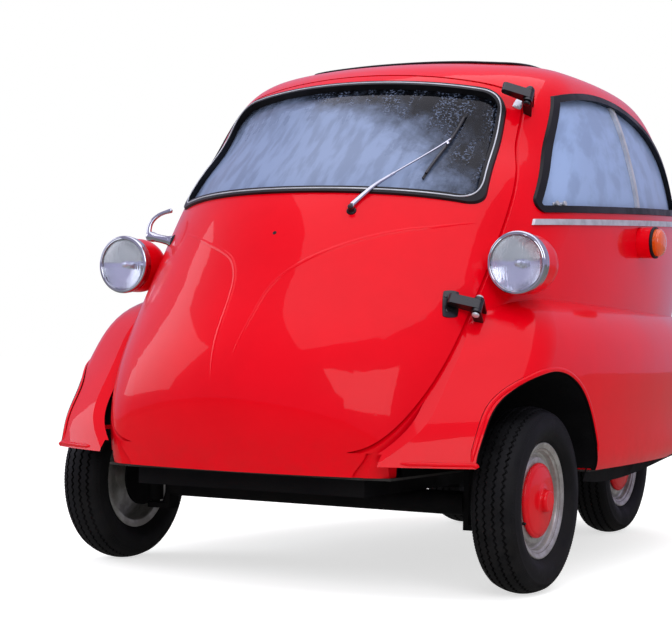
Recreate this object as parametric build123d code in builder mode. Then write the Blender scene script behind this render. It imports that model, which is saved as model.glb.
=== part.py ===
from build123d import *
import os
from math import sqrt

# Bubble car: +Z up, the nose points along -Y and the car's left side is +X. Millimetres.
# The origin is on the ground, under the middle of the car's length.

# Driving dimensions
wheelbase = 1500
front_track = 1200
rear_track = 520
front_overhang = 455
tyre_radius = 229
tyre_width = 120
rim_radius = 143
bead_radius = 127
panel = 28
skin = 12
shut_gap = 7.5
seat_gap = 0.3
run_gap = 0.05
proud = 6
glass_depth = 8
glass_thickness = 4.5
rubber_width = 18

# Places worked out from them
axle_y = front_overhang - 1142.5
rear_axle_y = axle_y + wheelbase
hub_z = tyre_radius
front_wheel_x = front_track / 2
rear_wheel_x = rear_track / 2
floor_top = 290
floor_thickness = 6
frame_top = floor_top - floor_thickness
side_plane = Plane(origin=(0, axle_y, 0), x_dir=(0, 1, 0), z_dir=(1, 0, 0))

# Level slices of the cabin, y measured from the front axle:
# z, nose y, half width, widest y, tail y, nose radius, nose corner, side radius, tail corner, tail radius
CABIN = [
    (290, -406, 500, 400, 1600, 1700, 120, 3200, 300, 800),
    (400, -446, 540, 450, 1740, 1000, 230, 3200, 350, 800),
    (520, -448, 575, 500, 1770, 700, 390, 3200, 400, 750),
    (655, -382, 595, 560, 1760, 606, 480, 3200, 430, 700),
    (850, -246, 602, 620, 1710, 598, 490, 3200, 450, 680),
    (1073, -62, 582, 660, 1620, 597, 450, 3200, 430, 650),
    (1243, 119, 533, 700, 1520, 687, 350, 3000, 380, 600),
    (1320, 212, 492, 720, 1440, 700, 300, 2600, 340, 560),
    (1368, 320, 435, 740, 1335, 600, 250, 2200, 300, 500),
    (1390, 420, 365, 750, 1210, 500, 200, 1800, 240, 420),
    (1398, 520, 240, 760, 1050, 350, 140, 1000, 160, 300),
]

# Level slices of the wings and lower sides, in the same columns
WINGS = [
    (290, -488, 672, 350, 1700, 1222, 110, 5000, 320, 650),
    (400, -430, 682, 350, 1790, 1200, 115, 5000, 330, 650),
    (500, -360, 688, 350, 1824, 1150, 120, 5000, 340, 650),
    (600, -286, 684, 350, 1826, 1110, 130, 5000, 340, 650),
    (668, -222, 656, 370, 1792, 1100, 140, 4500, 340, 650),
    (712, -148, 607, 400, 1716, 1000, 160, 4000, 320, 640),
    (738, -60, 540, 430, 1610, 900, 160, 3400, 300, 600),
]


def tangent_arcs(half_width, wide_y, end_y, end_radius, corner_radius, side_radius, way):
    """Start, middle and end of the corner arc between an end arc (way -1 nose, 1 tail) and a side arc."""
    end_centre = Vector(0, end_y - way * end_radius)
    side_centre = Vector(half_width - side_radius, wide_y)
    line = side_centre - end_centre
    reach_end = end_radius - corner_radius
    reach_side = side_radius - corner_radius
    along = (reach_end**2 - reach_side**2 + line.length**2) / (2 * line.length)
    across = sqrt(reach_end**2 - along**2)
    unit = line.normalized()
    normal = Vector(-unit.Y, unit.X)
    found = [end_centre + unit * along + normal * across * s for s in (-1, 1)]
    centre = max(found, key=lambda point: way * point.Y)
    start = end_centre + (centre - end_centre).normalized() * end_radius
    finish = side_centre + (centre - side_centre).normalized() * side_radius
    toward = ((start - centre).normalized() + (finish - centre).normalized()).normalized()
    return start, centre + toward * corner_radius, finish


def mirrored(point):
    return Vector(-point.X, point.Y)


def draw_slice(row, inset):
    """Closed outline of one level slice, moved inwards by the inset. It is drawn in the open BuildLine."""
    _, nose, half_width, wide_y, tail, nose_r, nose_corner, side_r, tail_corner, tail_r = row
    nose, tail, half_width = nose + inset, tail - inset, half_width - inset
    nose_r, nose_corner, side_r = nose_r - inset, nose_corner - inset, side_r - inset
    tail_corner, tail_r = tail_corner - inset, tail_r - inset
    n0, n1, n2 = tangent_arcs(half_width, wide_y, nose, nose_r, nose_corner, side_r, -1)
    t0, t1, t2 = tangent_arcs(half_width, wide_y, tail, tail_r, tail_corner, side_r, 1)
    widest = Vector(half_width, wide_y)
    ThreePointArc(mirrored(n0), (0, nose), n0)
    ThreePointArc(n0, n1, n2)
    ThreePointArc(n2, widest, t2)
    ThreePointArc(t2, t1, t0)
    ThreePointArc(t0, (0, tail), mirrored(t0))
    ThreePointArc(mirrored(t0), mirrored(t1), mirrored(t2))
    ThreePointArc(mirrored(t2), mirrored(widest), mirrored(n2))
    ThreePointArc(mirrored(n2), mirrored(n1), mirrored(n0))


def body_form(rows, inset):
    """Solid of the slices moved inwards by the inset; its underside stays at the lowest slice."""
    low, high = rows[0][0], rows[-1][0]
    with BuildPart() as form:
        for row in rows:
            level = row[0] - inset * (row[0] - low) / (high - low)
            with BuildSketch(Plane(origin=(0, axle_y, level), z_dir=(0, 0, 1))):
                with BuildLine():
                    draw_slice(row, inset)
                make_face()
        loft()
    return form.part


def export(part, name):
    """Label a finished piece and write it out."""
    part.label = name
    export_step(part, f"parts/{name}.step")


def level(z):
    """Plane across the car at height z, with y measured from the front axle."""
    return Plane(origin=(0, axle_y, z), x_dir=(1, 0, 0), z_dir=(0, 0, 1))


def wheel_plane(x, y, side):
    """Plane through a wheel's axle: local x is the radius, local y points outwards."""
    return Plane(origin=(x, y, hub_z), x_dir=(0, 0, 1), z_dir=(0, side, 0))


os.makedirs("parts", exist_ok=True)
SIDES = (("left", 1), ("right", -1))

# Body forms shared by the panels, glass and rubbers
cabin_skin = body_form(CABIN, 0)
cabin_inside = body_form(CABIN, panel)
cabin_trim = body_form(CABIN, panel + seat_gap)
cabin_near = body_form(CABIN, -seat_gap)
cabin_proud = body_form(CABIN, -proud)
rubber_bed = body_form(CABIN, glass_depth - seat_gap)
glass_front = body_form(CABIN, glass_depth)
glass_back = body_form(CABIN, glass_depth + glass_thickness)
wing_skin = body_form(WINGS, 0)
wing_inside = body_form(WINGS, skin)
wing_near = body_form(WINGS, -seat_gap)

# Door: its shut line leans back from the wings' feet to the roof
shut_foot = (-399, 338)
shut_middle = (-45, 768)
shut_head = (296, 1250)
shut_corner = (308, 1268)
shut_roof = (100, 1443)
door_foot_half_width = 388
door_foot_back = -376
reach = 900


def door_region(gap):
    """Everything ahead of the door's shut line, grown by the gap."""
    with BuildPart() as region:
        with BuildSketch(side_plane):
            with BuildLine():
                ThreePointArc(shut_foot, shut_middle, shut_head)
                Polyline(shut_head, shut_corner, shut_roof, (-reach, shut_roof[1]))
                Polyline((-reach, shut_roof[1]), (-reach, shut_foot[1]), shut_foot)
            make_face()
            offset(amount=gap, kind=Kind.INTERSECTION)
        extrude(amount=reach, both=True)
        with BuildSketch(level(floor_top - 20)):
            with Locations((0, (door_foot_back - reach) / 2)):
                Rectangle(2 * (door_foot_half_width + gap), reach + door_foot_back + 2 * gap)
        extrude(amount=shut_foot[1] - floor_top + 30)
    return region.part


# Windscreen outline, drawn square to the screen's slope
screen_plane = Plane(origin=(0, axle_y + 18, 1148), x_dir=(1, 0, 0), z_dir=(0, -0.6856, 0.728))
screen_low = (457, -120)
screen_top = (413, 273)
screen_sag = 236
screen_corner = 62
screen_reach = 260


def screen_block(inset):
    """The windscreen's outline carried through the door's skin, moved inwards by the inset."""
    with BuildPart() as block:
        with BuildSketch(screen_plane.offset(-screen_reach)):
            with BuildLine():
                ThreePointArc((-screen_low[0], screen_low[1]), (0, -screen_sag), screen_low)
                Line(screen_low, screen_top)
                ThreePointArc(screen_top, (0, screen_sag), (-screen_top[0], screen_top[1]))
                Line((-screen_top[0], screen_top[1]), (-screen_low[0], screen_low[1]))
            face = make_face()
            fillet(face.vertices(), radius=screen_corner)
            offset(amount=-inset)
        extrude(amount=screen_reach + 120)
    return block.part


# Side window outline in the side view
window_low = (145, 946)
window_head = (392, 1276)
window_top = (700, 1311)
window_shoulder = (1040, 1268)
window_rear = (1225, 1170)
window_tail = (1330, 1018)


def window_block(inset):
    """Both side windows' outlines carried through the cabin's sides."""
    with BuildPart() as block:
        for side in (1, -1):
            with BuildSketch(side_plane.offset(side * 300)):
                with BuildLine():
                    Line(window_low, window_head)
                    ThreePointArc(window_head, window_top, window_shoulder)
                    ThreePointArc(window_shoulder, window_rear, window_tail)
                    Line(window_tail, window_low)
                face = make_face()
                fillet(face.vertices().sort_by(Axis.Y)[:1], radius=24)
                fillet(face.vertices().sort_by(Axis.Y)[-1:], radius=50)
                offset(amount=-inset)
            extrude(amount=side * 400)
    return block.part


# Rear window in the rear view
rear_window_z = 1095
rear_window_width = 700
rear_window_height = 200
rear_window_y = 1300
rear_window_corner = 80


def rear_block(inset):
    with BuildPart() as block:
        centre = (0, axle_y + rear_window_y, rear_window_z)
        with BuildSketch(Plane(origin=centre, x_dir=(-1, 0, 0), z_dir=(0, 1, 0))):
            RectangleRounded(
                rear_window_width - 2 * inset, rear_window_height - 2 * inset, rear_window_corner - inset
            )
        extrude(amount=500)
    return block.part


# Wheel tunnels in the front wings
tunnel_y = -12
tunnel_z = 250
tunnel_radius = 294
tunnel_inner = 405
tunnel_sheet = 3


def tunnels(sheet):
    """Space over both front wheels, grown by the sheet that lines it."""
    inner = tunnel_inner - sheet
    with BuildPart() as space:
        for side in (1, -1):
            with BuildSketch(side_plane.offset(side * inner)):
                with Locations((tunnel_y, tunnel_z)):
                    Circle(tunnel_radius + sheet)
                with Locations((tunnel_y, tunnel_z - 100)):
                    Rectangle(2 * (tunnel_radius + sheet), 200)
            extrude(amount=side * (720 - inner))
    return space.part


# Front door panel
screen_hole = screen_block(0)
with BuildPart() as front_door:
    add(cabin_skin)
    add(cabin_inside, mode=Mode.SUBTRACT)
    add(door_region(0), mode=Mode.INTERSECT)
    add(screen_hole, mode=Mode.SUBTRACT)
export(front_door.part, "front_door")

with BuildPart() as windscreen:
    add(glass_front)
    add(glass_back, mode=Mode.SUBTRACT)
    add(screen_block(seat_gap), mode=Mode.INTERSECT)
export(windscreen.part, "windscreen")

with BuildPart() as windscreen_seal:
    add(cabin_proud)
    add(rubber_bed, mode=Mode.SUBTRACT)
    add(screen_block(seat_gap), mode=Mode.INTERSECT)
    add(screen_block(seat_gap + rubber_width), mode=Mode.SUBTRACT)
export(windscreen_seal.part, "windscreen_seal")

# Cabin and lower body in one form, cut apart at the shoulder
shoulder_z = 740
roof_hole_y = (500, 1180)
roof_hole_half_width = 300
tail_lift = 400
wing_lip_z = 320
hatch_y = (1010, 1330)
hatch_z = (390, 640)


def hatch_block(gap):
    """Outline of the engine lid in the right side, grown by the gap."""
    with BuildPart() as block:
        with BuildSketch(side_plane.offset(-720)):
            with Locations((sum(hatch_y) / 2, sum(hatch_z) / 2)):
                RectangleRounded(hatch_y[1] - hatch_y[0] + 2 * gap, hatch_z[1] - hatch_z[0] + 2 * gap, 40)
        extrude(amount=250)
    return block.part


with BuildPart() as cabin_space:
    add(wing_inside)
    with BuildSketch(side_plane):
        with Locations((tunnel_y + tunnel_radius + tunnel_sheet + 1000, 500)):
            Rectangle(2000, 1000)
    extrude(amount=reach, both=True, mode=Mode.INTERSECT)
    add(cabin_inside)
    add(tunnels(tunnel_sheet), mode=Mode.SUBTRACT)

with BuildPart() as wing_space:
    add(wing_inside)
    with BuildSketch(side_plane):
        with Locations((tunnel_y + tunnel_radius - 1000, 500)):
            Rectangle(2000, 1000)
    extrude(amount=reach, both=True, mode=Mode.INTERSECT)
    add(cabin_skin, mode=Mode.SUBTRACT)

with BuildPart() as body:
    add(cabin_skin)
    add(wing_skin)
    add(cabin_space.part, mode=Mode.SUBTRACT)
    add(wing_space.part, mode=Mode.SUBTRACT)
    add(tunnels(0), mode=Mode.SUBTRACT)
    add(door_region(shut_gap), mode=Mode.SUBTRACT)
    add(window_block(0), mode=Mode.SUBTRACT)
    add(rear_block(0), mode=Mode.SUBTRACT)
    add(hatch_block(shut_gap), mode=Mode.SUBTRACT)
    with BuildSketch(level(1200)):
        with Locations((0, sum(roof_hole_y) / 2)):
            RectangleRounded(2 * roof_hole_half_width, roof_hole_y[1] - roof_hole_y[0], 60)
    extrude(amount=400, mode=Mode.SUBTRACT)
    with BuildSketch(side_plane):
        with BuildLine():
            Polyline((950, floor_top), (2000, tail_lift + 20), (2000, 0), (950, 0), close=True)
        make_face()
    extrude(amount=reach, both=True, mode=Mode.SUBTRACT)
    with BuildSketch(level(wing_lip_z)):
        for side in (1, -1):
            with Locations((side * (door_foot_half_width + shut_gap + 200), tunnel_y - tunnel_radius - 200)):
                Rectangle(400, 440)
    extrude(amount=floor_top - wing_lip_z - 10, mode=Mode.SUBTRACT)

with BuildPart() as upper_body:
    add(body.part)
    split(bisect_by=Plane.XY.offset(shoulder_z), keep=Keep.TOP)
export(upper_body.part, "upper_body")

with BuildPart() as lower_body:
    add(body.part)
    split(bisect_by=Plane.XY.offset(shoulder_z), keep=Keep.BOTTOM)
export(lower_body.part, "lower_body")

with BuildPart() as engine_lid:
    add(wing_skin)
    add(wing_inside, mode=Mode.SUBTRACT)
    add(hatch_block(0), mode=Mode.INTERSECT)
export(engine_lid.part, "engine_lid")

with BuildPart() as side_glass:
    add(glass_front)
    add(glass_back, mode=Mode.SUBTRACT)
    add(window_block(seat_gap), mode=Mode.INTERSECT)
export(side_glass.part, "side_glass")

with BuildPart() as rear_glass:
    add(glass_front)
    add(glass_back, mode=Mode.SUBTRACT)
    add(rear_block(seat_gap), mode=Mode.INTERSECT)
export(rear_glass.part, "rear_glass")

# Rubber frames round the side and rear glass
def rubber_frame(block):
    """Proud rubber ring that follows a window's outline."""
    with BuildPart() as frame:
        add(cabin_proud)
        add(rubber_bed, mode=Mode.SUBTRACT)
        add(block(seat_gap), mode=Mode.INTERSECT)
        add(block(seat_gap + rubber_width), mode=Mode.SUBTRACT)
    return frame.part


side_frames = rubber_frame(window_block)
rear_frame = rubber_frame(rear_block)
with BuildPart() as window_rubbers:
    add(side_frames)
    add(rear_frame)
export(window_rubbers.part, "window_rubbers")

# Aluminium strips: the divider of the sliding panes, and the trim along the belt
divider_top = (774, 1330)
divider_foot = (797, 940)
divider_width = 22
belt_front = (152, 930)
belt_rear = (1345, 1001)
belt_width = 16


def side_band(corners):
    """Slab through both sides with the given outline in the side view."""
    with BuildPart() as band:
        with BuildSketch(side_plane):
            with BuildLine():
                Polyline(*corners, close=True)
            make_face()
        extrude(amount=reach, both=True)
    return band.part


divider_band = side_band([
    divider_foot,
    (divider_foot[0] + divider_width, divider_foot[1]),
    (divider_top[0] + divider_width, divider_top[1]),
    divider_top,
])
belt_band = side_band([
    belt_front,
    belt_rear,
    (belt_rear[0], belt_rear[1] - belt_width),
    (belt_front[0] - 10, belt_front[1] - belt_width),
])
with BuildPart() as dividers:
    add(cabin_near)
    add(rubber_bed, mode=Mode.SUBTRACT)
    add(divider_band, mode=Mode.INTERSECT)
    add(window_block(2 * seat_gap + rubber_width), mode=Mode.INTERSECT)
with BuildPart() as belts:
    add(cabin_proud)
    add(cabin_near, mode=Mode.SUBTRACT)
    add(belt_band, mode=Mode.INTERSECT)
with BuildPart() as window_strips:
    add(dividers.part)
    add(belts.part)
export(window_strips.part, "window_strips")

# Folding fabric roof, closed over its opening
fabric_lap = 28
fabric_corner = 80
fabric_width = 2 * (roof_hole_half_width + fabric_lap)
fabric_length = roof_hole_y[1] - roof_hole_y[0] + 2 * fabric_lap
with BuildPart() as fabric_roof:
    add(cabin_proud)
    add(cabin_near, mode=Mode.SUBTRACT)
    with BuildSketch(level(1250)):
        with Locations((0, sum(roof_hole_y) / 2)):
            RectangleRounded(fabric_width, fabric_length, fabric_corner)
    extrude(amount=300, mode=Mode.INTERSECT)
export(fabric_roof.part, "fabric_roof")

# Frame under the floor
rail_x = 300
rail_width = 50
rail_depth = 44
rail_bottom = frame_top - rail_depth
rail_front = -330
rail_rear = 1180
inner_rail_x = 140
inner_rail_width = 40
inner_rail_depth = 36
inner_rail_rear = 1700
inner_rail_top = frame_top + inner_rail_depth
inner_rail_front = rail_rear - rail_width
# Jacking pads under the side rails
pad_y = 250
pad_width = 44
pad_length = 90
pad_depth = 10
# Cross members: y of the middle
CROSS_MEMBERS = (-305, 0, 480, 1155)
with BuildPart() as chassis:
    with BuildSketch(level(rail_bottom)):
        with Locations((rail_x, (rail_front + rail_rear) / 2), (-rail_x, (rail_front + rail_rear) / 2)):
            Rectangle(rail_width, rail_rear - rail_front)
        with Locations(*[(0, y) for y in CROSS_MEMBERS]):
            Rectangle(2 * rail_x, rail_width)
    extrude(amount=rail_depth)
    with BuildSketch(level(frame_top)):
        middle = (inner_rail_front + inner_rail_rear) / 2
        with Locations((inner_rail_x, middle), (-inner_rail_x, middle)):
            Rectangle(inner_rail_width, inner_rail_rear - inner_rail_front)
    extrude(amount=inner_rail_depth)
    with BuildSketch(level(rail_bottom - pad_depth)):
        with Locations((rail_x, pad_y), (-rail_x, pad_y)):
            Rectangle(pad_width, pad_length)
    extrude(amount=pad_depth)
export(chassis.part, "chassis")

floor_front = door_foot_back + shut_gap + 2
floor_rear = 1000
floor_narrow = tunnel_inner - 1
floor_wide = 655
floor_step = tunnel_y + tunnel_radius + 2
with BuildPart() as floor_pan:
    with BuildSketch(level(frame_top)):
        with BuildLine():
            Polyline(
                (floor_narrow, floor_front + 20),
                (floor_narrow, floor_step),
                (floor_wide, floor_step),
                (floor_wide - 35, floor_rear),
                (-floor_wide + 35, floor_rear),
                (-floor_wide, floor_step),
                (-floor_narrow, floor_step),
                (-floor_narrow, floor_front + 20),
                (-door_foot_half_width + 60, floor_front),
                (door_foot_half_width - 60, floor_front),
                close=True,
            )
        make_face()
    extrude(amount=floor_thickness)
export(floor_pan.part, "floor_pan")

# Rear bulkhead and parcel shelf
bulkhead_y = 985
bulkhead_half_width = 560
shelf_z = 634
shelf_sheet = 6
with BuildPart() as rear_shelf:
    with BuildSketch(level(floor_top)):
        with Locations((0, bulkhead_y)):
            Rectangle(2 * bulkhead_half_width, shelf_sheet)
    extrude(amount=shelf_z - floor_top + shelf_sheet)
    with BuildSketch(level(shelf_z)):
        with BuildLine():
            draw_slice(WINGS[4], skin + 20)
        make_face()
        with Locations((0, bulkhead_y - 1000 - shelf_sheet / 2)):
            Rectangle(2000, 2000, mode=Mode.SUBTRACT)
    extrude(amount=shelf_sheet)
export(rear_shelf.part, "rear_shelf")

# Bench seat: its box, cushion and back
seat_front = 500
seat_rear = 930
seat_half_width = 440
seat_box_top = 440
cushion_thickness = 120
with BuildPart() as seat_box:
    with BuildSketch(level(floor_top)):
        with Locations((0, (seat_front + seat_rear) / 2 + 20)):
            Rectangle(2 * seat_half_width - 60, seat_rear - seat_front - 40)
    extrude(amount=seat_box_top - floor_top)
export(seat_box.part, "seat_box")

with BuildPart() as seat_cushion:
    with BuildSketch(level(seat_box_top + seat_gap)):
        with Locations((0, (seat_front + seat_rear) / 2)):
            RectangleRounded(2 * seat_half_width, seat_rear - seat_front, 60)
    extrude(amount=cushion_thickness)
    fillet(seat_cushion.faces().sort_by(Axis.Z)[-1].edges(), radius=35)
export(seat_cushion.part, "seat_cushion")

back_foot = seat_box_top + cushion_thickness + 2 * seat_gap
with BuildPart() as seat_back:
    with BuildSketch(side_plane):
        with BuildLine():
            Polyline((845, back_foot), (978, back_foot), (978, 660), (1040, 900), (930, 915), close=True)
        face = make_face()
        fillet(face.vertices().sort_by(Axis.Z)[-2:], radius=40)
    extrude(amount=seat_half_width, both=True)
export(seat_back.part, "seat_back")

# Wheels: rim, tyre and cap, drawn as radius against distance outwards from the tyre's middle
rim_half_width = 42
rim_lip = 4
rim_wall = 6
rim_well_radius = 99
axle_radius = 15
hub_radius = 34
hub_inner_end = -45
hub_outer_end = 24
disc_front = 18
disc_thickness = 6
disc_step_radius = 108
cap_radius = 92
cap_seat = 26
cap_shoulder = (70, 41)
cap_crown = (34, 47)
cap_boss = [(28, 50), (25, 60), (18, 64)]
shoulder_radius = 178
bead_top_radius = rim_radius + 3
tread_half_width = 46
tread_edge_radius = tyre_radius - 12
WHEELS = [
    ("front_left", front_wheel_x, axle_y, 1),
    ("front_right", -front_wheel_x, axle_y, -1),
    ("rear_left", rear_wheel_x, rear_axle_y, 1),
    ("rear_right", -rear_wheel_x, rear_axle_y, -1),
]
# Rim section: inner radius, outer radius, from, to
RIM_RINGS = [
    (bead_radius - rim_wall, bead_radius, -rim_half_width, rim_half_width),
    (bead_radius - rim_wall, rim_radius, rim_half_width - rim_lip, rim_half_width),
    (bead_radius - rim_wall, rim_radius, -rim_half_width, rim_lip - rim_half_width),
    (axle_radius + run_gap, bead_radius, disc_front - disc_thickness, disc_front),
    (cap_radius - 12, disc_step_radius, disc_front, cap_seat),
    (axle_radius + run_gap, hub_radius, hub_inner_end, hub_outer_end),
    (rim_well_radius - 11, rim_well_radius, rim_lip - rim_half_width, disc_front - disc_thickness),
]


def build_rim(plane):
    with BuildPart() as rim:
        with BuildSketch(plane):
            for inner, outer, start, end in RIM_RINGS:
                with Locations(((inner + outer) / 2, (start + end) / 2)):
                    Rectangle(outer - inner, end - start)
        revolve(axis=Axis(plane.origin, plane.y_dir))
    return rim.part


def build_tyre(plane):
    bead = bead_radius + seat_gap
    inside = rim_half_width - rim_lip - seat_gap
    with BuildPart() as tyre:
        with BuildSketch(plane):
            with BuildLine():
                Polyline(
                    (bead_top_radius, inside), (bead, inside), (bead, -inside), (bead_top_radius, -inside)
                )
                for side in (1, -1):
                    ThreePointArc(
                        (bead_top_radius, side * inside),
                        (shoulder_radius, side * tyre_width / 2),
                        (tread_edge_radius, side * tread_half_width),
                    )
                ThreePointArc(
                    (tread_edge_radius, tread_half_width),
                    (tyre_radius, 0),
                    (tread_edge_radius, -tread_half_width),
                )
            make_face()
        revolve(axis=Axis(plane.origin, plane.y_dir))
    return tyre.part


def build_cap(plane):
    with BuildPart() as cap:
        with BuildSketch(plane):
            with BuildLine():
                Line((0, cap_seat), (cap_radius, cap_seat))
                ThreePointArc((cap_radius, cap_seat), cap_shoulder, cap_crown)
                Polyline(cap_crown, *cap_boss, (0, cap_boss[-1][1]), (0, cap_seat))
            make_face()
        revolve(axis=Axis(plane.origin, plane.y_dir))
    return cap.part


for name, x, y, side in WHEELS:
    plane = wheel_plane(x, y, side)
    export(build_tyre(plane), f"{name}_tyre")
    export(build_rim(plane), f"{name}_rim")
    export(build_cap(plane), f"{name}_cap")

# Front axle beam with a fork and king pin at each end
king_pin_x = 500
king_pin_radius = 12
fork_half_height = 84
fork_plate = 14
fork_inner = 440
beam_radius = 30
beam_z = rail_bottom - beam_radius
fork_reach = 22
with BuildPart() as front_axle:
    with BuildSketch(Plane(origin=(-fork_inner, axle_y, beam_z), x_dir=(0, 1, 0), z_dir=(1, 0, 0))):
        Circle(beam_radius)
    extrude(amount=2 * fork_inner)
    for side in (1, -1):
        with BuildSketch(level(hub_z - fork_half_height)):
            with Locations((side * (fork_inner + fork_plate / 2), 0)):
                Rectangle(fork_plate, 2 * fork_reach)
        extrude(amount=2 * fork_half_height)
        for start in (hub_z - fork_half_height, hub_z + fork_half_height - fork_plate):
            with BuildSketch(level(start)):
                with Locations((side * (fork_inner + king_pin_x) / 2, 0)):
                    Rectangle(king_pin_x - fork_inner, 2 * fork_reach)
                with Locations((side * king_pin_x, 0)):
                    Circle(fork_reach)
            extrude(amount=fork_plate)
        with BuildSketch(level(hub_z - fork_half_height)):
            with Locations((side * king_pin_x, 0)):
                Circle(king_pin_radius)
        extrude(amount=2 * fork_half_height)
export(front_axle.part, "front_axle")

sleeve_radius = 21
sleeve_half_height = fork_half_height - fork_plate - shut_gap
back_plate_radius = 80
back_plate_reach = front_wheel_x + hub_inner_end - 13 - king_pin_x
for name, side in SIDES:
    with BuildPart() as knuckle:
        with BuildSketch(level(hub_z - sleeve_half_height)):
            with Locations((side * king_pin_x, 0)):
                Circle(sleeve_radius)
        extrude(amount=2 * sleeve_half_height)
        stub = Plane(origin=(side * king_pin_x, axle_y, hub_z), x_dir=(0, 1, 0), z_dir=(side, 0, 0))
        with BuildSketch(stub):
            Circle(axle_radius)
        extrude(amount=front_wheel_x - king_pin_x + hub_outer_end - 2)
        with BuildSketch(stub.offset(back_plate_reach)):
            Circle(back_plate_radius)
        extrude(amount=6)
        with BuildSketch(level(hub_z - sleeve_half_height - 10)):
            with Locations((side * king_pin_x, 0)):
                Circle(king_pin_radius + run_gap)
        extrude(amount=2 * sleeve_half_height + 20, mode=Mode.SUBTRACT)
    export(knuckle.part, f"{name}_knuckle")

# Rear axle tube with its chain case, on two quarter springs
axle_tube_radius = 24
case_x = -10
case_width = 60
case_front = 1200
with BuildPart() as rear_axle:
    for start, radius, length in (
        (-(rear_wheel_x + hub_inner_end - 5), axle_tube_radius, 2 * (rear_wheel_x + hub_inner_end - 5)),
        (-(rear_wheel_x + hub_outer_end - 2), axle_radius, 2 * (rear_wheel_x + hub_outer_end - 2)),
    ):
        with BuildSketch(Plane(origin=(start, rear_axle_y, hub_z), x_dir=(0, 1, 0), z_dir=(1, 0, 0))):
            Circle(radius)
        extrude(amount=length)
    with BuildSketch(side_plane.offset(case_x - case_width / 2)):
        with BuildLine():
            Polyline(
                (case_front, 215),
                (case_front, 420),
                (case_front + 60, 400),
                (wheelbase + 20, hub_z + 38),
                (wheelbase + 45, hub_z),
                (wheelbase + 20, hub_z - 38),
                close=True,
            )
        face = make_face()
        fillet(face.vertices(), radius=12)
    extrude(amount=case_width)
export(rear_axle.part, "rear_axle")

spring_front = rail_rear + 10
spring_depth = frame_top - hub_z - axle_tube_radius
with BuildPart() as rear_springs:
    for side in (1, -1):
        with BuildSketch(side_plane.offset(side * inner_rail_x - 18)):
            with BuildLine():
                Polyline(
                    (spring_front, frame_top),
                    (spring_front, frame_top - 26),
                    (wheelbase + 30, frame_top - spring_depth),
                    (wheelbase + 30, frame_top - spring_depth + 7),
                    (spring_front + 90, frame_top),
                    close=True,
                )
            make_face()
        extrude(amount=36)
export(rear_springs.part, "rear_springs")

# Engine beside the seat's back, silencer across the tail
with BuildPart() as engine:
    with BuildSketch(level(frame_top)):
        with Locations((-305, 1122)):
            RectangleRounded(250, 206, 20)
    extrude(amount=270)
    with BuildSketch(level(inner_rail_top + 1)):
        with Locations((-90, 1122)):
            Rectangle(200, 150)
    extrude(amount=130)
export(engine.part, "engine")

silencer_y = 1635
silencer_radius = 48
silencer_half_length = 150
silencer_z = frame_top - silencer_radius
pipe_radius = 17
pipe_x = 95
pipe_socket_radius = 22
pipe_socket_end = 1700
pipe_end = 1800
with BuildPart() as silencer:
    drum = (-silencer_half_length, axle_y + silencer_y, silencer_z)
    with BuildSketch(Plane(origin=drum, x_dir=(0, 1, 0), z_dir=(1, 0, 0))):
        Circle(silencer_radius)
    extrude(amount=2 * silencer_half_length)
    fillet(silencer.edges(), radius=12)
    for radius, end in ((pipe_socket_radius, pipe_socket_end), (pipe_radius, pipe_end)):
        outlet = (pipe_x, axle_y + silencer_y, silencer_z)
        with BuildSketch(Plane(origin=outlet, x_dir=(1, 0, 0), z_dir=(0, 1, 0))):
            Circle(radius)
        extrude(amount=end - silencer_y)
export(silencer.part, "silencer")

# Headlamps on the cabin's cheeks
lamp_x = 586
lamp_y = -52
lamp_z = 808
lens_radius = 68
ring_radius = 79
bucket_radius = 74
bucket_length = 165
lens_bulge = 20


def lamp_plane(side):
    return Plane(origin=(side * lamp_x, axle_y + lamp_y, lamp_z), x_dir=(side, 0, 0), z_dir=(0, 0, side))


with BuildPart() as lamp_buckets:
    for side in (1, -1):
        centre = lamp_plane(side)
        with BuildSketch(centre):
            with BuildLine():
                Polyline((0, 22), (bucket_radius, 22), (bucket_radius, 60))
                ThreePointArc((bucket_radius, 60), (bucket_radius * 0.72, 128), (0, bucket_length))
                Line((0, bucket_length), (0, 22))
            make_face()
        revolve(axis=Axis(centre.origin, (0, 1, 0)))
    add(cabin_near, mode=Mode.SUBTRACT)
    add(wing_near, mode=Mode.SUBTRACT)
export(lamp_buckets.part, "lamp_buckets")

with BuildPart() as lamp_rings:
    for side in (1, -1):
        centre = lamp_plane(side)
        with BuildSketch(centre):
            with BuildLine():
                Polyline((lens_radius, -6), (lens_radius, 22), (ring_radius, 22), (ring_radius, 2))
                ThreePointArc((ring_radius, 2), (ring_radius - 4, -6), (lens_radius, -6))
            make_face()
        revolve(axis=Axis(centre.origin, (0, 1, 0)))
    add(cabin_near, mode=Mode.SUBTRACT)
export(lamp_rings.part, "lamp_rings")

with BuildPart() as lamp_lenses:
    for side in (1, -1):
        centre = lamp_plane(side)
        edge = lens_radius - seat_gap
        with BuildSketch(centre):
            with BuildLine():
                Polyline((12, -lens_bulge), (0, -lens_bulge), (0, 21.7), (edge, 21.7), (edge, -4))
                ThreePointArc((edge, -4), (edge * 0.62, -4 - 0.72 * (lens_bulge - 4)), (12, -lens_bulge))
            make_face()
        revolve(axis=Axis(centre.origin, (0, 1, 0)))
export(lamp_lenses.part, "lamp_lenses")

# Turn signals that stand out of the sides below the belt
signal_y = 803
signal_z = 905
signal_root = 560
signal_radius = 44
signal_step = 640
with BuildPart() as signal_pods:
    for side in (1, -1):
        with BuildSketch(side_plane.offset(side * signal_root)):
            with Locations((signal_y, signal_z)):
                Circle(signal_radius)
        extrude(amount=side * (signal_step - signal_root))
    add(cabin_near, mode=Mode.SUBTRACT)
export(signal_pods.part, "signal_pods")

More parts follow.
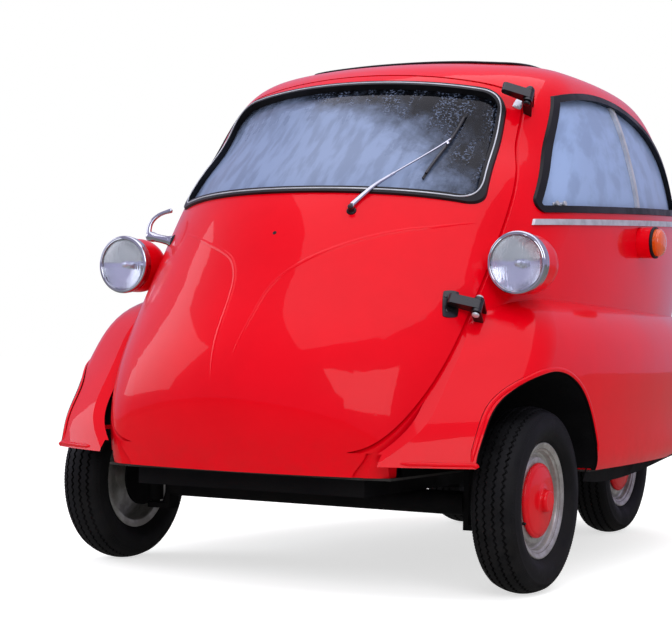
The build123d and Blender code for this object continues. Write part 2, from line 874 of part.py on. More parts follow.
with BuildPart() as signal_lenses:
    for side in (1, -1):
        with BuildSketch(side_plane.offset(side * signal_step)):
            with Locations((signal_y, signal_z)):
                Circle(signal_radius - 4)
        extrude(amount=side * 30)
        fillet(signal_lenses.faces().sort_by(Axis.X)[-1 if side > 0 else 0].edges(), radius=24)
export(signal_lenses.part, "signal_lenses")

# Tail lamps
tail_lamp_x = 380
tail_lamp_z = 600
tail_lamp_radius = 34
tail_lamp_front = 1600
tail_lamp_back = 1790
tail_lamp_corner = 12


def round_lamp(plane, radius, start, end, corner):
    """Round lamp about the plane's y axis, its far rim rounded."""
    with BuildPart() as lamp:
        with BuildSketch(plane):
            with BuildLine():
                round_start, round_end = (radius - corner, end), (radius, end - corner)
                Polyline(round_end, (radius, start), (0, start), (0, end), round_start)
                ThreePointArc(round_start, (radius - 0.29 * corner, end - 0.29 * corner), round_end)
            make_face()
        revolve(axis=Axis(plane.origin, plane.y_dir))
    return lamp.part


tail_lamp_pair = [
    round_lamp(
        Plane(origin=(x, axle_y, tail_lamp_z), x_dir=(1, 0, 0), z_dir=(0, 0, 1)),
        tail_lamp_radius,
        tail_lamp_front,
        tail_lamp_back,
        tail_lamp_corner,
    )
    for x in (tail_lamp_x, -tail_lamp_x)
]
with BuildPart() as tail_lamps:
    for lamp in tail_lamp_pair:
        add(lamp)
    add(wing_near, mode=Mode.SUBTRACT)
export(tail_lamps.part, "tail_lamps")

# Door hinges outside the left edge: pins and lugs on the body, eyes and arms on the door
hinge_low = Vector(516, axle_y - 124, 700)
hinge_high = Vector(476, axle_y + 258, 1260)
hinge_axis = (hinge_high - hinge_low).normalized()
hinge_pin_radius = 6
eye_radius = 13
eye_height = 26
lug_thickness = 7
lug_gap = 1
# Hinges: middle of the pin, direction outwards
HINGES = [(hinge_low, (0.93, -0.37, 0.2)), (hinge_high, (0.93, -0.2, 0.2))]


def hinge_plate(centre, outwards, start, height, foot):
    """Flat arm round the pin that reaches to a foot, from a start height along the hinge's axis."""
    base = Plane(origin=centre, x_dir=outwards, z_dir=hinge_axis)
    with BuildPart() as plate:
        with BuildSketch(base.offset(start)):
            Circle(eye_radius)
            with Locations(foot):
                Circle(9)
            make_hull()
        extrude(amount=height)
    return plate.part


def square_to_hinge(direction):
    """The direction made square to the hinge's axis."""
    vector = Vector(*direction)
    return (vector - hinge_axis * vector.dot(hinge_axis)).normalized()


door_foot_of_arm = (-38, -52)
body_foot_of_arm = (-42, 62)
lug_start = eye_height / 2 + lug_gap
pin_reach = lug_start + lug_thickness + 3
body_plates = [
    hinge_plate(centre, square_to_hinge(out), start, lug_thickness, body_foot_of_arm)
    for centre, out in HINGES
    for start in (lug_start, -lug_start - lug_thickness)
]
door_plates = [
    hinge_plate(centre, square_to_hinge(out), -eye_height / 2, eye_height, door_foot_of_arm)
    for centre, out in HINGES
]
with BuildPart() as hinge_brackets:
    for plate in body_plates:
        add(plate)
    for centre, _ in HINGES:
        with BuildSketch(Plane(origin=centre, z_dir=hinge_axis).offset(-pin_reach)):
            Circle(hinge_pin_radius)
        extrude(amount=2 * pin_reach)
    add(cabin_near, mode=Mode.SUBTRACT)
    add(wing_near, mode=Mode.SUBTRACT)
export(hinge_brackets.part, "hinge_brackets")

with BuildPart() as hinge_arms:
    for plate in door_plates:
        add(plate)
    for centre, _ in HINGES:
        with BuildSketch(Plane(origin=centre, z_dir=hinge_axis).offset(-eye_height)):
            Circle(hinge_pin_radius + run_gap)
        extrude(amount=2 * eye_height, mode=Mode.SUBTRACT)
    add(cabin_near, mode=Mode.SUBTRACT)
export(hinge_arms.part, "hinge_arms")

# Engine lid hinges along its top edge, outside the skin
lid_axis_middle = Vector(-613, axle_y + 1170, hatch_z[1])
lid_axis = Vector(0.1738, 0.98478, 0)
lid_outwards = (-0.98478, 0.1738, 0)
lid_pin_radius = 3
lid_eye_radius = 6.5
lid_eye_length = 16
lid_lug_length = 6
LID_HINGES = (-80, 80)


def lid_plate(along, length, foot):
    """Arm round the lid's pin that reaches to a foot, from a place along the pin."""
    base = Plane(origin=lid_axis_middle + lid_axis * along, x_dir=lid_outwards, z_dir=lid_axis)
    with BuildPart() as plate:
        with BuildSketch(base):
            Circle(lid_eye_radius)
            with Locations(foot):
                Circle(4)
            make_hull()
        extrude(amount=length)
    return plate.part


def lid_pin(along, length, radius):
    base = Plane(origin=lid_axis_middle + lid_axis * along, x_dir=lid_outwards, z_dir=lid_axis)
    with BuildPart() as pin:
        with BuildSketch(base):
            Circle(radius)
        extrude(amount=length)
    return pin.part


lid_lug_start = lid_eye_length / 2 + lug_gap
lid_pin_reach = lid_lug_start + lid_lug_length
body_lid_plates = [
    lid_plate(middle + start, lid_lug_length, (-16, 16))
    for middle in LID_HINGES
    for start in (lid_lug_start, -lid_pin_reach)
]
eye_plates = [lid_plate(middle - lid_eye_length / 2, lid_eye_length, (-9, -24)) for middle in LID_HINGES]
lid_pins = [lid_pin(middle - lid_pin_reach, 2 * lid_pin_reach, lid_pin_radius) for middle in LID_HINGES]
lid_bores = [
    lid_pin(middle - lid_eye_length, 2 * lid_eye_length, lid_pin_radius + run_gap) for middle in LID_HINGES
]
with BuildPart() as lid_brackets:
    for piece in body_lid_plates + lid_pins:
        add(piece)
    add(wing_near, mode=Mode.SUBTRACT)
export(lid_brackets.part, "lid_brackets")

with BuildPart() as lid_eyes:
    for piece in eye_plates:
        add(piece)
    for piece in lid_bores:
        add(piece, mode=Mode.SUBTRACT)
    add(wing_near, mode=Mode.SUBTRACT)
export(lid_eyes.part, "lid_eyes")


def rod(start, end, radius):
    """Round bar between two points measured from the front axle, its ends rounded."""
    first = Vector(start[0], start[1] + axle_y, start[2])
    last = Vector(end[0], end[1] + axle_y, end[2])
    with BuildPart() as bar:
        with BuildSketch(Plane(origin=first, z_dir=(last - first).normalized())):
            Circle(radius)
        extrude(amount=(last - first).length)
        for point in (first, last):
            with Locations(point):
                Sphere(radius)
    return bar.part


# Wiper on the door, its blade close over the glass
wiper_pivot = (177, -149, 938)
wiper_pivot_top = (183, -168, 954.5)
wiper_knee = (252, -76.3, 1032.5)
wiper_tip = (324, 57.4, 1103.8)
blade_start = (310, 17, 1045)
blade_end = (337, 182, 1213)
blade_width = 8


def slab_along_blade():
    """Thin slab square to the glass along the blade."""
    start = Vector(blade_start[0], blade_start[1] + axle_y, blade_start[2])
    end = Vector(blade_end[0], blade_end[1] + axle_y, blade_end[2])
    along = (end - start).normalized()
    outwards = Vector(0.42, -0.65, 0.63)
    across = along.cross(outwards).normalized()
    with BuildPart() as slab:
        slab_plane = Plane(origin=(start + end) * 0.5, x_dir=along, z_dir=across)
        with BuildSketch(slab_plane.offset(-blade_width / 2)):
            Rectangle((end - start).length, 80)
        extrude(amount=blade_width)
    return slab.part


blade_slab = slab_along_blade()
blade_field = screen_block(rubber_width + 2)
with BuildPart() as wiper_blade:
    add(cabin_proud)
    add(rubber_bed, mode=Mode.SUBTRACT)
    add(blade_slab, mode=Mode.INTERSECT)
    add(blade_field, mode=Mode.INTERSECT)
wiper_bars = [
    rod(wiper_pivot, wiper_pivot_top, 9),
    rod(wiper_pivot_top, wiper_knee, 4),
    rod(wiper_knee, wiper_tip, 4),
]
with BuildPart() as wiper:
    for bar in wiper_bars:
        add(bar)
    add(cabin_near, mode=Mode.SUBTRACT)
    add(wiper_blade.part)
export(wiper.part, "wiper")

# Door handle near the right edge
handle_root = (-425, -40, 868)
handle_knee = (-508, -52, 886)
handle_tip = (-448, -20, 955)
handle_bars = [rod(handle_root, handle_knee, 9), rod(handle_knee, handle_tip, 8)]
with BuildPart() as door_handle:
    for bar in handle_bars:
        add(bar)
    add(cabin_near, mode=Mode.SUBTRACT)
export(door_handle.part, "door_handle")

# Steering wheel on its column, which the dash panel carries on the door
wheel_centre = Vector(240, axle_y + 150, 890)
column_direction = Vector(0, 1, 1).normalized()
wheel_rim_radius = 190
wheel_rim_bar = 11
shaft_radius = 9
column_radius = 16
column_length = 440
spoke_width = 20
column_base = wheel_centre - column_direction * column_length
with BuildPart() as steering_column:
    with BuildSketch(Plane(origin=column_base, z_dir=column_direction)):
        Circle(column_radius)
    extrude(amount=column_length - 30)
    with BuildSketch(Plane(origin=column_base, z_dir=column_direction)):
        Circle(shaft_radius)
    extrude(amount=column_length + 12)
export(steering_column.part, "steering_column")

wheel_face = Plane(origin=wheel_centre, x_dir=(1, 0, 0), z_dir=column_direction)
with BuildPart() as steering_wheel:
    with BuildSketch(Plane(origin=wheel_centre, x_dir=(1, 0, 0), z_dir=wheel_face.y_dir)):
        with Locations((wheel_rim_radius, 0)):
            Circle(wheel_rim_bar)
    revolve(axis=Axis(wheel_centre, column_direction))
    with BuildSketch(wheel_face.offset(-10)):
        Circle(30)
        Rectangle(2 * wheel_rim_radius, spoke_width)
    extrude(amount=8)
    with BuildSketch(wheel_face.offset(-24)):
        Circle(26)
    extrude(amount=40)
    with BuildSketch(wheel_face.offset(-30)):
        Circle(shaft_radius + run_gap)
    extrude(amount=60, mode=Mode.SUBTRACT)
export(steering_wheel.part, "steering_wheel")

dash_half_width = 350
dash_bottom = 790
dash_height = 60
with BuildPart() as dash_panel:
    with BuildSketch(level(dash_bottom)):
        with Locations((0, -125)):
            Rectangle(2 * dash_half_width, 250)
        with Locations((wheel_centre.X, 60)):
            Rectangle(80, 140)
    extrude(amount=dash_height)
    add(cabin_trim, mode=Mode.INTERSECT)
    with BuildSketch(Plane(origin=column_base, z_dir=column_direction)):
        Circle(column_radius + seat_gap)
    extrude(amount=column_length, mode=Mode.SUBTRACT)
export(dash_panel.part, "dash_panel")

# Pedals and levers on the floor
pedal_x = (150, 215, 285)
pedal_y = -130
lever_x = 415
with BuildPart() as driver_controls:
    for x in pedal_x:
        with BuildSketch(side_plane.offset(x - 22)):
            with Locations(Location((pedal_y, floor_top + 110), -35)):
                Rectangle(8, 70)
        extrude(amount=44)
        with BuildSketch(side_plane.offset(x - 6)):
            with BuildLine():
                Polyline(
                    (pedal_y - 60, floor_top), (pedal_y - 44, floor_top), (pedal_y + 4, floor_top + 112),
                    (pedal_y - 8, floor_top + 112), close=True,
                )
            make_face()
        extrude(amount=12)
    for y, height in ((400, 210), (450, 150)):
        with BuildSketch(level(floor_top)):
            with Locations((lever_x, y)):
                Circle(8)
        extrude(amount=height)
        with Locations((lever_x, axle_y + y, floor_top + height)):
            Sphere(15)
export(driver_controls.part, "driver_controls")
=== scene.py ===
# %% [markdown]
# # A bubble car, dressed in Blender
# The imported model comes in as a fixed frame. Each visible piece then gets its own finish, and the pieces
# that need more shape than the frame holds are made here and stand in for their node.

# %% Load the frame
import math

import bmesh
import bpy
import numpy as np
from mathutils import Matrix, Vector
from mathutils.bvhtree import BVHTree


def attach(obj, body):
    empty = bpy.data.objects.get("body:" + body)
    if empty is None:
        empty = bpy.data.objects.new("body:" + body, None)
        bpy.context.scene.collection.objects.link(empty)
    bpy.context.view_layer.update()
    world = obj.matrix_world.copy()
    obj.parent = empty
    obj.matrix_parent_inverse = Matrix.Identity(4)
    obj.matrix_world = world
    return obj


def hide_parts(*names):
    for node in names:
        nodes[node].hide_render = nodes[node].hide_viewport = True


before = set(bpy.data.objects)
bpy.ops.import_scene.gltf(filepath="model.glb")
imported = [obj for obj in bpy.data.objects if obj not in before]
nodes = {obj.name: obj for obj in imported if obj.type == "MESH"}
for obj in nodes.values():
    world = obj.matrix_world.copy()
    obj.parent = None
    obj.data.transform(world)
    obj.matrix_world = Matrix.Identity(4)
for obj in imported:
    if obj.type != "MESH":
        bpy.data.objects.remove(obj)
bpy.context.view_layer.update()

# %% [markdown]
# Sizes are written in millimetres with y counted from the front axle, as on a maker's drawing. One small
# function turns such a point into the frame's metres.

# %% Places on the car
AXLE_Y = -0.6875
HUB_Z = 0.229
ARCH_Y, ARCH_Z, ARCH_R = -12, 250, 294
LINER_R = 293.2
WHEEL_PLACES = {
    "front_left": (0.6, AXLE_Y, 1),
    "front_right": (-0.6, AXLE_Y, -1),
    "rear_left": (0.26, AXLE_Y + 1.5, 1),
    "rear_right": (-0.26, AXLE_Y + 1.5, -1),
}


def place(x, y, z):
    """A drawing point in millimetres from the front axle, as metres in the frame."""
    return Vector((x / 1000, y / 1000 + AXLE_Y, z / 1000))


# %% [markdown]
# ## Shader effects that several finishes share
# Dust and grain are node groups, built once. Each puts out a mask or a height that varies over the
# surface, and every finish uses it with its own numbers. They read Object coordinates, so the pattern stays
# on the piece.

# %% Node group helpers
def new_group(name, inputs, outputs):
    """Empty shader group with float inputs (name, default) and named outputs."""
    group = bpy.data.node_groups.new(name, "ShaderNodeTree")
    for label, default in inputs:
        socket = group.interface.new_socket(label, in_out="INPUT", socket_type="NodeSocketFloat")
        socket.default_value = default
    for label in outputs:
        group.interface.new_socket(label, in_out="OUTPUT", socket_type="NodeSocketFloat")
    start = group.nodes.new("NodeGroupInput")
    end = group.nodes.new("NodeGroupOutput")
    return group, start, end


def node(tree, kind, **settings):
    made = tree.nodes.new(kind)
    for key, value in settings.items():
        setattr(made, key, value)
    return made


def noise(tree, scale, detail=4.0, roughness=0.55, distortion=0.0):
    """Noise texture on Object coordinates."""
    made = node(tree, "ShaderNodeTexNoise")
    coords = node(tree, "ShaderNodeTexCoord")
    tree.links.new(coords.outputs["Object"], made.inputs["Vector"])
    if isinstance(scale, (int, float)):
        made.inputs["Scale"].default_value = scale
    else:
        tree.links.new(scale, made.inputs["Scale"])
    made.inputs["Detail"].default_value = detail
    made.inputs["Roughness"].default_value = roughness
    made.inputs["Distortion"].default_value = distortion
    return made.outputs["Fac"]


def math_node(tree, operation, a, b=None, c=None, clamp=False):
    made = node(tree, "ShaderNodeMath", operation=operation, use_clamp=clamp)
    for socket, value in zip(made.inputs, (a, b, c)):
        if value is None:
            continue
        if isinstance(value, (int, float)):
            socket.default_value = value
        else:
            tree.links.new(value, socket)
    return made.outputs[0]


def ramp(tree, value, low, high):
    """Smooth step of a value between two limits."""
    made = node(tree, "ShaderNodeMapRange", interpolation_type="SMOOTHSTEP")
    tree.links.new(value, made.inputs["Value"])
    made.inputs["From Min"].default_value = low
    made.inputs["From Max"].default_value = high
    return made.outputs["Result"]


# %% Groups: grain and dust low down
grain, grain_in, grain_out = new_group(
    "surface_grain", [("Scale", 400.0), ("Patches", 6.0)], ["Fine", "Broad"]
)
grain.links.new(noise(grain, grain_in.outputs["Scale"], 3.0), grain_out.inputs["Fine"])
grain.links.new(noise(grain, grain_in.outputs["Patches"], 5.0, 0.6), grain_out.inputs["Broad"])

low_dust, dust_in, dust_out = new_group("dust_low_down", [("Top", 0.6), ("Amount", 0.5)], ["Mask"])
dust_coords = node(low_dust, "ShaderNodeTexCoord")
dust_split = node(low_dust, "ShaderNodeSeparateXYZ")
low_dust.links.new(dust_coords.outputs["Object"], dust_split.inputs[0])
dust_fall = math_node(low_dust, "DIVIDE", dust_split.outputs["Z"], dust_in.outputs["Top"])
dust_height = math_node(low_dust, "SUBTRACT", 1.0, dust_fall, clamp=True)
dust_blotch = ramp(low_dust, noise(low_dust, 22.0, 8.0, 0.68), 0.32, 0.72)
dust_mask = math_node(
    low_dust, "MULTIPLY", math_node(low_dust, "MULTIPLY", dust_height, dust_blotch), dust_in.outputs["Amount"]
)
low_dust.links.new(dust_mask, dust_out.inputs["Mask"])

print("shared groups:", [g.name for g in bpy.data.node_groups])


# %% [markdown]
# ## Finishes
# Every finish is a Principled shader with its constants on the shader's own sockets. The helper mixes a dirt
# colour over the base by a mask, varies the roughness, and feeds one bump.

# %% A finish helper
def group_node(tree, group, **values):
    made = node(tree, "ShaderNodeGroup", node_tree=group)
    for label, value in values.items():
        made.inputs[label].default_value = value
    return made


def mix_colour(tree, mask, first, second):
    made = node(tree, "ShaderNodeMix", data_type="RGBA")
    tree.links.new(mask, made.inputs["Factor"])
    for socket, value in ((made.inputs["A"], first), (made.inputs["B"], second)):
        if isinstance(value, tuple):
            socket.default_value = (*value, 1.0)
        else:
            tree.links.new(value, socket)
    return made.outputs["Result"]


def from_hex(text):
    """Linear colour of a hex triplet."""
    parts = [int(text[i:i + 2], 16) / 255 for i in (0, 2, 4)]
    return tuple(p / 12.92 if p <= 0.04045 else ((p + 0.055) / 1.055) ** 2.4 for p in parts)


def finish(name, base, rough, second=None, dust=None, swing=0.08, grit=None, **shader_values):
    """Principled finish: two tones by broad patches, dust low down, roughness swing and a fine bump.

    dust is (colour, top, amount), and grit is (depth, grain scale, patch scale)."""
    base = from_hex(base)
    second = from_hex(second) if second else tuple(min(1, c * 1.12) for c in base)
    depth, grain_scale, patches = grit or (0.0, 400.0, 6.0)
    made = bpy.data.materials.new(name)
    made.use_nodes = True
    tree = made.node_tree
    shader = tree.nodes["Principled BSDF"]
    texture = group_node(tree, grain, Scale=grain_scale, Patches=patches)
    broad = ramp(tree, texture.outputs["Broad"], 0.35, 0.68)
    colour = mix_colour(tree, broad, base, second)
    roughness = math_node(tree, "MULTIPLY_ADD", broad, swing, rough)
    if dust:
        dirt, top, amount = dust
        fallen = group_node(tree, low_dust, Top=top, Amount=amount).outputs["Mask"]
        colour = mix_colour(tree, fallen, colour, from_hex(dirt))
        roughness = math_node(tree, "MULTIPLY_ADD", fallen, 0.5, roughness, clamp=True)
    tree.links.new(colour, shader.inputs["Base Color"])
    tree.links.new(roughness, shader.inputs["Roughness"])
    if depth:
        height = node(tree, "ShaderNodeBump")
        height.inputs["Strength"].default_value = 1.0
        height.inputs["Distance"].default_value = depth
        tree.links.new(texture.outputs["Fine"], height.inputs["Height"])
        tree.links.new(height.outputs["Normal"], shader.inputs["Normal"])
    for label, value in shader_values.items():
        shader.inputs[label.replace("_", " ")].default_value = value
    return made


# %% Paint, metals, rubbers
red_paint = finish(
    "red_paint", "DE0014", 0.3, "E60016", dust=("5A3A2E", 0.42, 0.35), swing=0.04, grit=(0.00002, 900.0, 3.0),
    Coat_Weight=0.5, Coat_Roughness=0.02, Coat_IOR=1.34, Specular_IOR_Level=0.04
)


def with_tunnel_shade(paint, name):
    """Copy of the paint that turns matt black on the walls of the front wheel tunnels and on faces turned inward:
    painted shade for the dark tunnels and the wing's hollow inside.
    """
    made = paint.copy()
    made.name = name
    tree = made.node_tree
    shader = tree.nodes["Principled BSDF"]
    coords = node(tree, "ShaderNodeTexCoord")
    from_core = node(tree, "ShaderNodeVectorMath", operation="MULTIPLY_ADD")
    tree.links.new(coords.outputs["Object"], from_core.inputs[0])
    from_core.inputs[1].default_value = (1, 0.35, 1)
    from_core.inputs[2].default_value = (0, 0, -0.62)
    facing = node(tree, "ShaderNodeVectorMath", operation="DOT_PRODUCT")
    tree.links.new(from_core.outputs["Vector"], facing.inputs[0])
    tree.links.new(coords.outputs["Normal"], facing.inputs[1])
    inner_face = ramp(tree, facing.outputs["Value"], -0.06, -0.12)
    from_axle = node(tree, "ShaderNodeVectorMath", operation="SUBTRACT")
    tree.links.new(coords.outputs["Object"], from_axle.inputs[0])
    from_axle.inputs[1].default_value = (0, AXLE_Y + ARCH_Y / 1000, ARCH_Z / 1000)
    flat = node(tree, "ShaderNodeVectorMath", operation="MULTIPLY")
    tree.links.new(from_axle.outputs["Vector"], flat.inputs[0])
    flat.inputs[1].default_value = (0, 1, 1)
    reach = node(tree, "ShaderNodeVectorMath", operation="LENGTH")
    tree.links.new(flat.outputs["Vector"], reach.inputs[0])
    # painted shade: near-black on the tunnel walls and on inward faces, where shade falls
    mask = math_node(tree, "MAXIMUM", ramp(tree, reach.outputs["Value"], 0.2962, 0.2952), inner_face)
    painted = shader.inputs["Base Color"].links[0].from_socket
    tree.links.new(mix_colour(tree, mask, painted, from_hex("0B0A0A")), shader.inputs["Base Color"])
    rough = shader.inputs["Roughness"].links[0].from_socket
    tree.links.new(
        math_node(tree, "MAXIMUM", rough, math_node(tree, "MULTIPLY", mask, 0.85)), shader.inputs["Roughness"]
    )
    tree.links.new(math_node(tree, "MULTIPLY_ADD", mask, -0.5, 0.5), shader.inputs["Coat Weight"])
    return made


wing_paint = with_tunnel_shade(red_paint, "wing_paint")
cap_paint = finish(
    "cap_paint", "D80414", 0.35, dust=("3A2A24", 0.3, 0.2), swing=0.05, Coat_Weight=0.4, Coat_Roughness=0.05,
    Specular_IOR_Level=0.1
)
bright_chrome = finish("bright_chrome", "C6C8CE", 0.05, "A9ABB4", Metallic=1.0)
satin_aluminium = finish(
    "satin_aluminium", "CBCDD2", 0.3, "B2B4BA", swing=0.15, grit=(0.00005, 900.0, 20.0), Metallic=0.5
)
silver_rim = finish(
    "silver_rim", "C6C5C0", 0.3, "A9A6A0", dust=("4A4238", 0.46, 0.28), swing=0.2,
    grit=(0.00005, 700.0, 24.0), Metallic=0.75
)
black_rubber = finish(
    "black_rubber", "0C0C0E", 0.38, "16161A", swing=0.18, grit=(0.0001, 500.0, 14.0), Specular_IOR_Level=0.25
)
tyre_rubber = finish(
    "tyre_rubber", "0B0B0C", 0.52, "161618", dust=("2E2A26", 0.42, 0.3), swing=0.22,
    grit=(0.00015, 450.0, 12.0), Specular_IOR_Level=0.16
)
under_black = finish(
    "under_black", "08080A", 0.62, "101011", dust=("2A2520", 0.4, 0.35), swing=0.25,
    grit=(0.0003, 220.0, 9.0), Specular_IOR_Level=0.1
)
hinge_black = finish(
    "hinge_black", "070708", 0.26, "0F0F10", swing=0.2, grit=(0.00008, 600.0, 25.0), Coat_Weight=0.4,
    Specular_IOR_Level=0.35
)
steel_grey = finish(
    "steel_grey", "6E6C69", 0.45, "55504A", dust=("3E2E22", 0.5, 0.7), swing=0.2, grit=(0.0002, 300.0, 16.0),
    Metallic=0.8
)
cast_metal = finish(
    "cast_metal", "77787A", 0.6, "5C5C5B", dust=("2D2620", 0.7, 0.5), swing=0.2, grit=(0.0005, 250.0, 12.0),
    Metallic=0.7
)
cream_plastic = finish("cream_plastic", "D9D2BC", 0.25, "CFC6AC", swing=0.1, Coat_Weight=0.3)
orange_lens = finish("orange_lens", "F0640A", 0.12, "D8520A", swing=0.05, Coat_Weight=1.0)
red_lens = finish("red_lens", "A30B10", 0.12, "8A0A0F", swing=0.05, Coat_Weight=1.0)
print("finishes:", len(bpy.data.materials))


# %% [markdown]
# ## Glass with a breath of mist
# Cold glass mists over, and the blade has wiped an arc clear. The clear part has a gloss; on the screen it is
# a near-black, mostly opaque film, painted shade for the dark cabin behind it, and on the side panes it is
# blue-grey, painted sky reflection. Mist is a pale, soft film on it, and its pale blue is painted sky reflection
# too. One mask in Object coordinates drives colour, roughness and alpha together: inside a flattened oval the
# film is thick, and drops and runs break its edge.

# %% Misted glass
def misted_glass(name, clear, film, clear_alpha, film_alpha, middle, radii, soft=0.35):
    made = bpy.data.materials.new(name)
    made.use_nodes = True
    tree = made.node_tree
    shader = tree.nodes["Principled BSDF"]
    coords = node(tree, "ShaderNodeTexCoord")
    oval = node(tree, "ShaderNodeMapping", vector_type="TEXTURE")
    tree.links.new(coords.outputs["Object"], oval.inputs["Vector"])
    oval.inputs["Location"].default_value = middle
    oval.inputs["Scale"].default_value = radii
    length = node(tree, "ShaderNodeVectorMath", operation="LENGTH")
    tree.links.new(oval.outputs["Vector"], length.inputs[0])
    ragged = math_node(tree, "MULTIPLY_ADD", noise(tree, 9.0, 6.0, 0.65), 0.5, length.outputs["Value"])
    inside = ramp(tree, ragged, 1.25 + soft / 2, 1.25 - soft / 2)
    runs_map = node(tree, "ShaderNodeMapping")
    tree.links.new(coords.outputs["Object"], runs_map.inputs["Vector"])
    runs_map.inputs["Scale"].default_value = (38.0, 9.0, 7.0)
    runs = node(tree, "ShaderNodeTexNoise")
    tree.links.new(runs_map.outputs["Vector"], runs.inputs["Vector"])
    runs.inputs["Scale"].default_value = 1.0
    runs.inputs["Detail"].default_value = 5.0
    streaks = ramp(tree, runs.outputs["Fac"], 0.42, 0.62)
    drops = ramp(tree, noise(tree, 160.0, 3.0), 0.5, 0.62)
    outside = math_node(tree, "MULTIPLY", math_node(tree, "MULTIPLY", streaks, drops), 0.42)
    thin = math_node(tree, "MULTIPLY_ADD", streaks, -0.22, 1.0)
    mist = math_node(tree, "MAXIMUM", math_node(tree, "MULTIPLY", inside, thin), outside)
    tree.links.new(mix_colour(tree, mist, clear, film), shader.inputs["Base Color"])
    tree.links.new(math_node(tree, "MULTIPLY_ADD", mist, 0.3, 0.04), shader.inputs["Roughness"])
    tree.links.new(
        math_node(tree, "MULTIPLY_ADD", mist, film_alpha - clear_alpha, clear_alpha), shader.inputs["Alpha"]
    )
    shader.inputs["Specular IOR Level"].default_value = 0.2
    shader.inputs["IOR"].default_value = 1.5
    return made


# painted shade: the near-black clear part stands for the dark cabin behind the screen; the film's pale blue is mist
# and painted sky reflection
screen_glass = misted_glass(
    "screen_glass", from_hex("07090D"), from_hex("8696BA"), 0.86, 0.92, (-0.15, -0.70, 0.95),
    (0.52, 2.0, 0.30)
)
# painted sky reflection: the blue-grey clear part and the pale blue film of the side panes, over mist on the film
pane_glass = misted_glass(
    "pane_glass", from_hex("5C6C8E"), from_hex("A6BCEA"), 0.55, 0.78, (0.0, 0.15, 1.05), (3.0, 0.9, 0.4), 0.6
)
lens_glass = finish("lens_glass", "F2F5F7", 0.03, "E8ECEF", swing=0.02, Transmission_Weight=0.96, IOR=1.45)
mirror_bowl = finish("mirror_bowl", "D2D4DC", 0.09, "BCBFC8", Metallic=1.0)
print("glass:", screen_glass.name, pane_glass.name, lens_glass.name)

# %% [markdown]
# ## Cloth finishes
# The roof is coated canvas and the bench a plain woven cloth. Both get a weave from two crossed wave
# textures, small enough to read as cloth up close.

# %% Weave group and cloth
weave, weave_in, weave_out = new_group("weave", [("Scale", 900.0)], ["Height"])
weave_coords = node(weave, "ShaderNodeTexCoord")
threads = []
for direction in ("X", "Y"):
    wave = node(weave, "ShaderNodeTexWave", wave_type="BANDS", bands_direction=direction)
    weave.links.new(weave_coords.outputs["Object"], wave.inputs["Vector"])
    weave.links.new(weave_in.outputs["Scale"], wave.inputs["Scale"])
    wave.inputs["Distortion"].default_value = 0.6
    threads.append(wave.outputs["Fac"])
weave.links.new(math_node(weave, "MAXIMUM", *threads), weave_out.inputs["Height"])


def cloth(name, base, second, rough, scale, depth, **shader_values):
    """Woven cloth over the two-tone finish."""
    made = finish(name, base, rough, second, swing=0.1, **shader_values)
    tree = made.node_tree
    bump_node = node(tree, "ShaderNodeBump")
    bump_node.inputs["Strength"].default_value = 1.0
    bump_node.inputs["Distance"].default_value = depth
    tree.links.new(group_node(tree, weave, Scale=scale).outputs["Height"], bump_node.inputs["Height"])
    tree.links.new(bump_node.outputs["Normal"], tree.nodes["Principled BSDF"].inputs["Normal"])
    return made


roof_canvas = cloth("roof_canvas", "1B1C20", "2A2C31", 0.7, 220.0, 0.0003, Sheen_Weight=0.2)
seat_cloth = cloth("seat_cloth", "8C877C", "7C766B", 0.85, 160.0, 0.0005, Sheen_Weight=0.3)
floor_mat = cloth("floor_mat", "2A2826", "363330", 0.9, 120.0, 0.0006)

# %% [markdown]
# ## Dressing the frame's own pieces
# Most of the frame already has the right shape, so a piece takes its finish through its material slot and
# keeps its mesh. A table says which piece gets which finish.

# %% Finish of each frame piece
FINISHES = {
    red_paint: ["front_door", "upper_body", "engine_lid", "lamp_buckets", "signal_pods"],
    wing_paint: ["lower_body"],
    screen_glass: ["windscreen"],
    pane_glass: ["side_glass", "rear_glass"],
    black_rubber: ["windscreen_seal", "window_rubbers"],
    satin_aluminium: ["window_strips"],
    under_black: ["chassis", "front_axle", "left_knuckle", "right_knuckle", "rear_axle", "rear_springs", "dash_panel",
                  "driver_controls", "seat_box", "rear_shelf", "steering_column"],
    hinge_black: ["hinge_brackets", "hinge_arms", "lid_brackets", "lid_eyes"],
    floor_mat: ["floor_pan"],
    cast_metal: ["engine"],
    steel_grey: ["silencer"],
    red_lens: ["tail_lamps"],
    orange_lens: ["signal_lenses"],
    cream_plastic: ["steering_wheel"],
    bright_chrome: ["lamp_rings", "door_handle", "wiper"],
    silver_rim: [f"{wheel}_rim" for wheel in WHEEL_PLACES],
    cap_paint: [f"{wheel}_cap" for wheel in WHEEL_PLACES],
    tyre_rubber: [f"{wheel}_tyre" for wheel in WHEEL_PLACES],
    roof_canvas: ["fabric_roof"],
    seat_cloth: ["seat_cushion", "seat_back"],
}
dressed = []
for material, names in FINISHES.items():
    for name in names:
        for held in nodes[name].material_slots:
            held.material = material
        dressed.append(name)
print("dressed:", len(dressed), "of", len(nodes), "left:", sorted(set(nodes) - set(dressed)))


# %% [markdown]
# ## Helpers for new pieces
# Round pieces are turned from a profile like on a lathe. Long pieces are swept along a smooth line. Lines
# that lie on the shell are dropped onto the frame's own surface first, with its own normals.

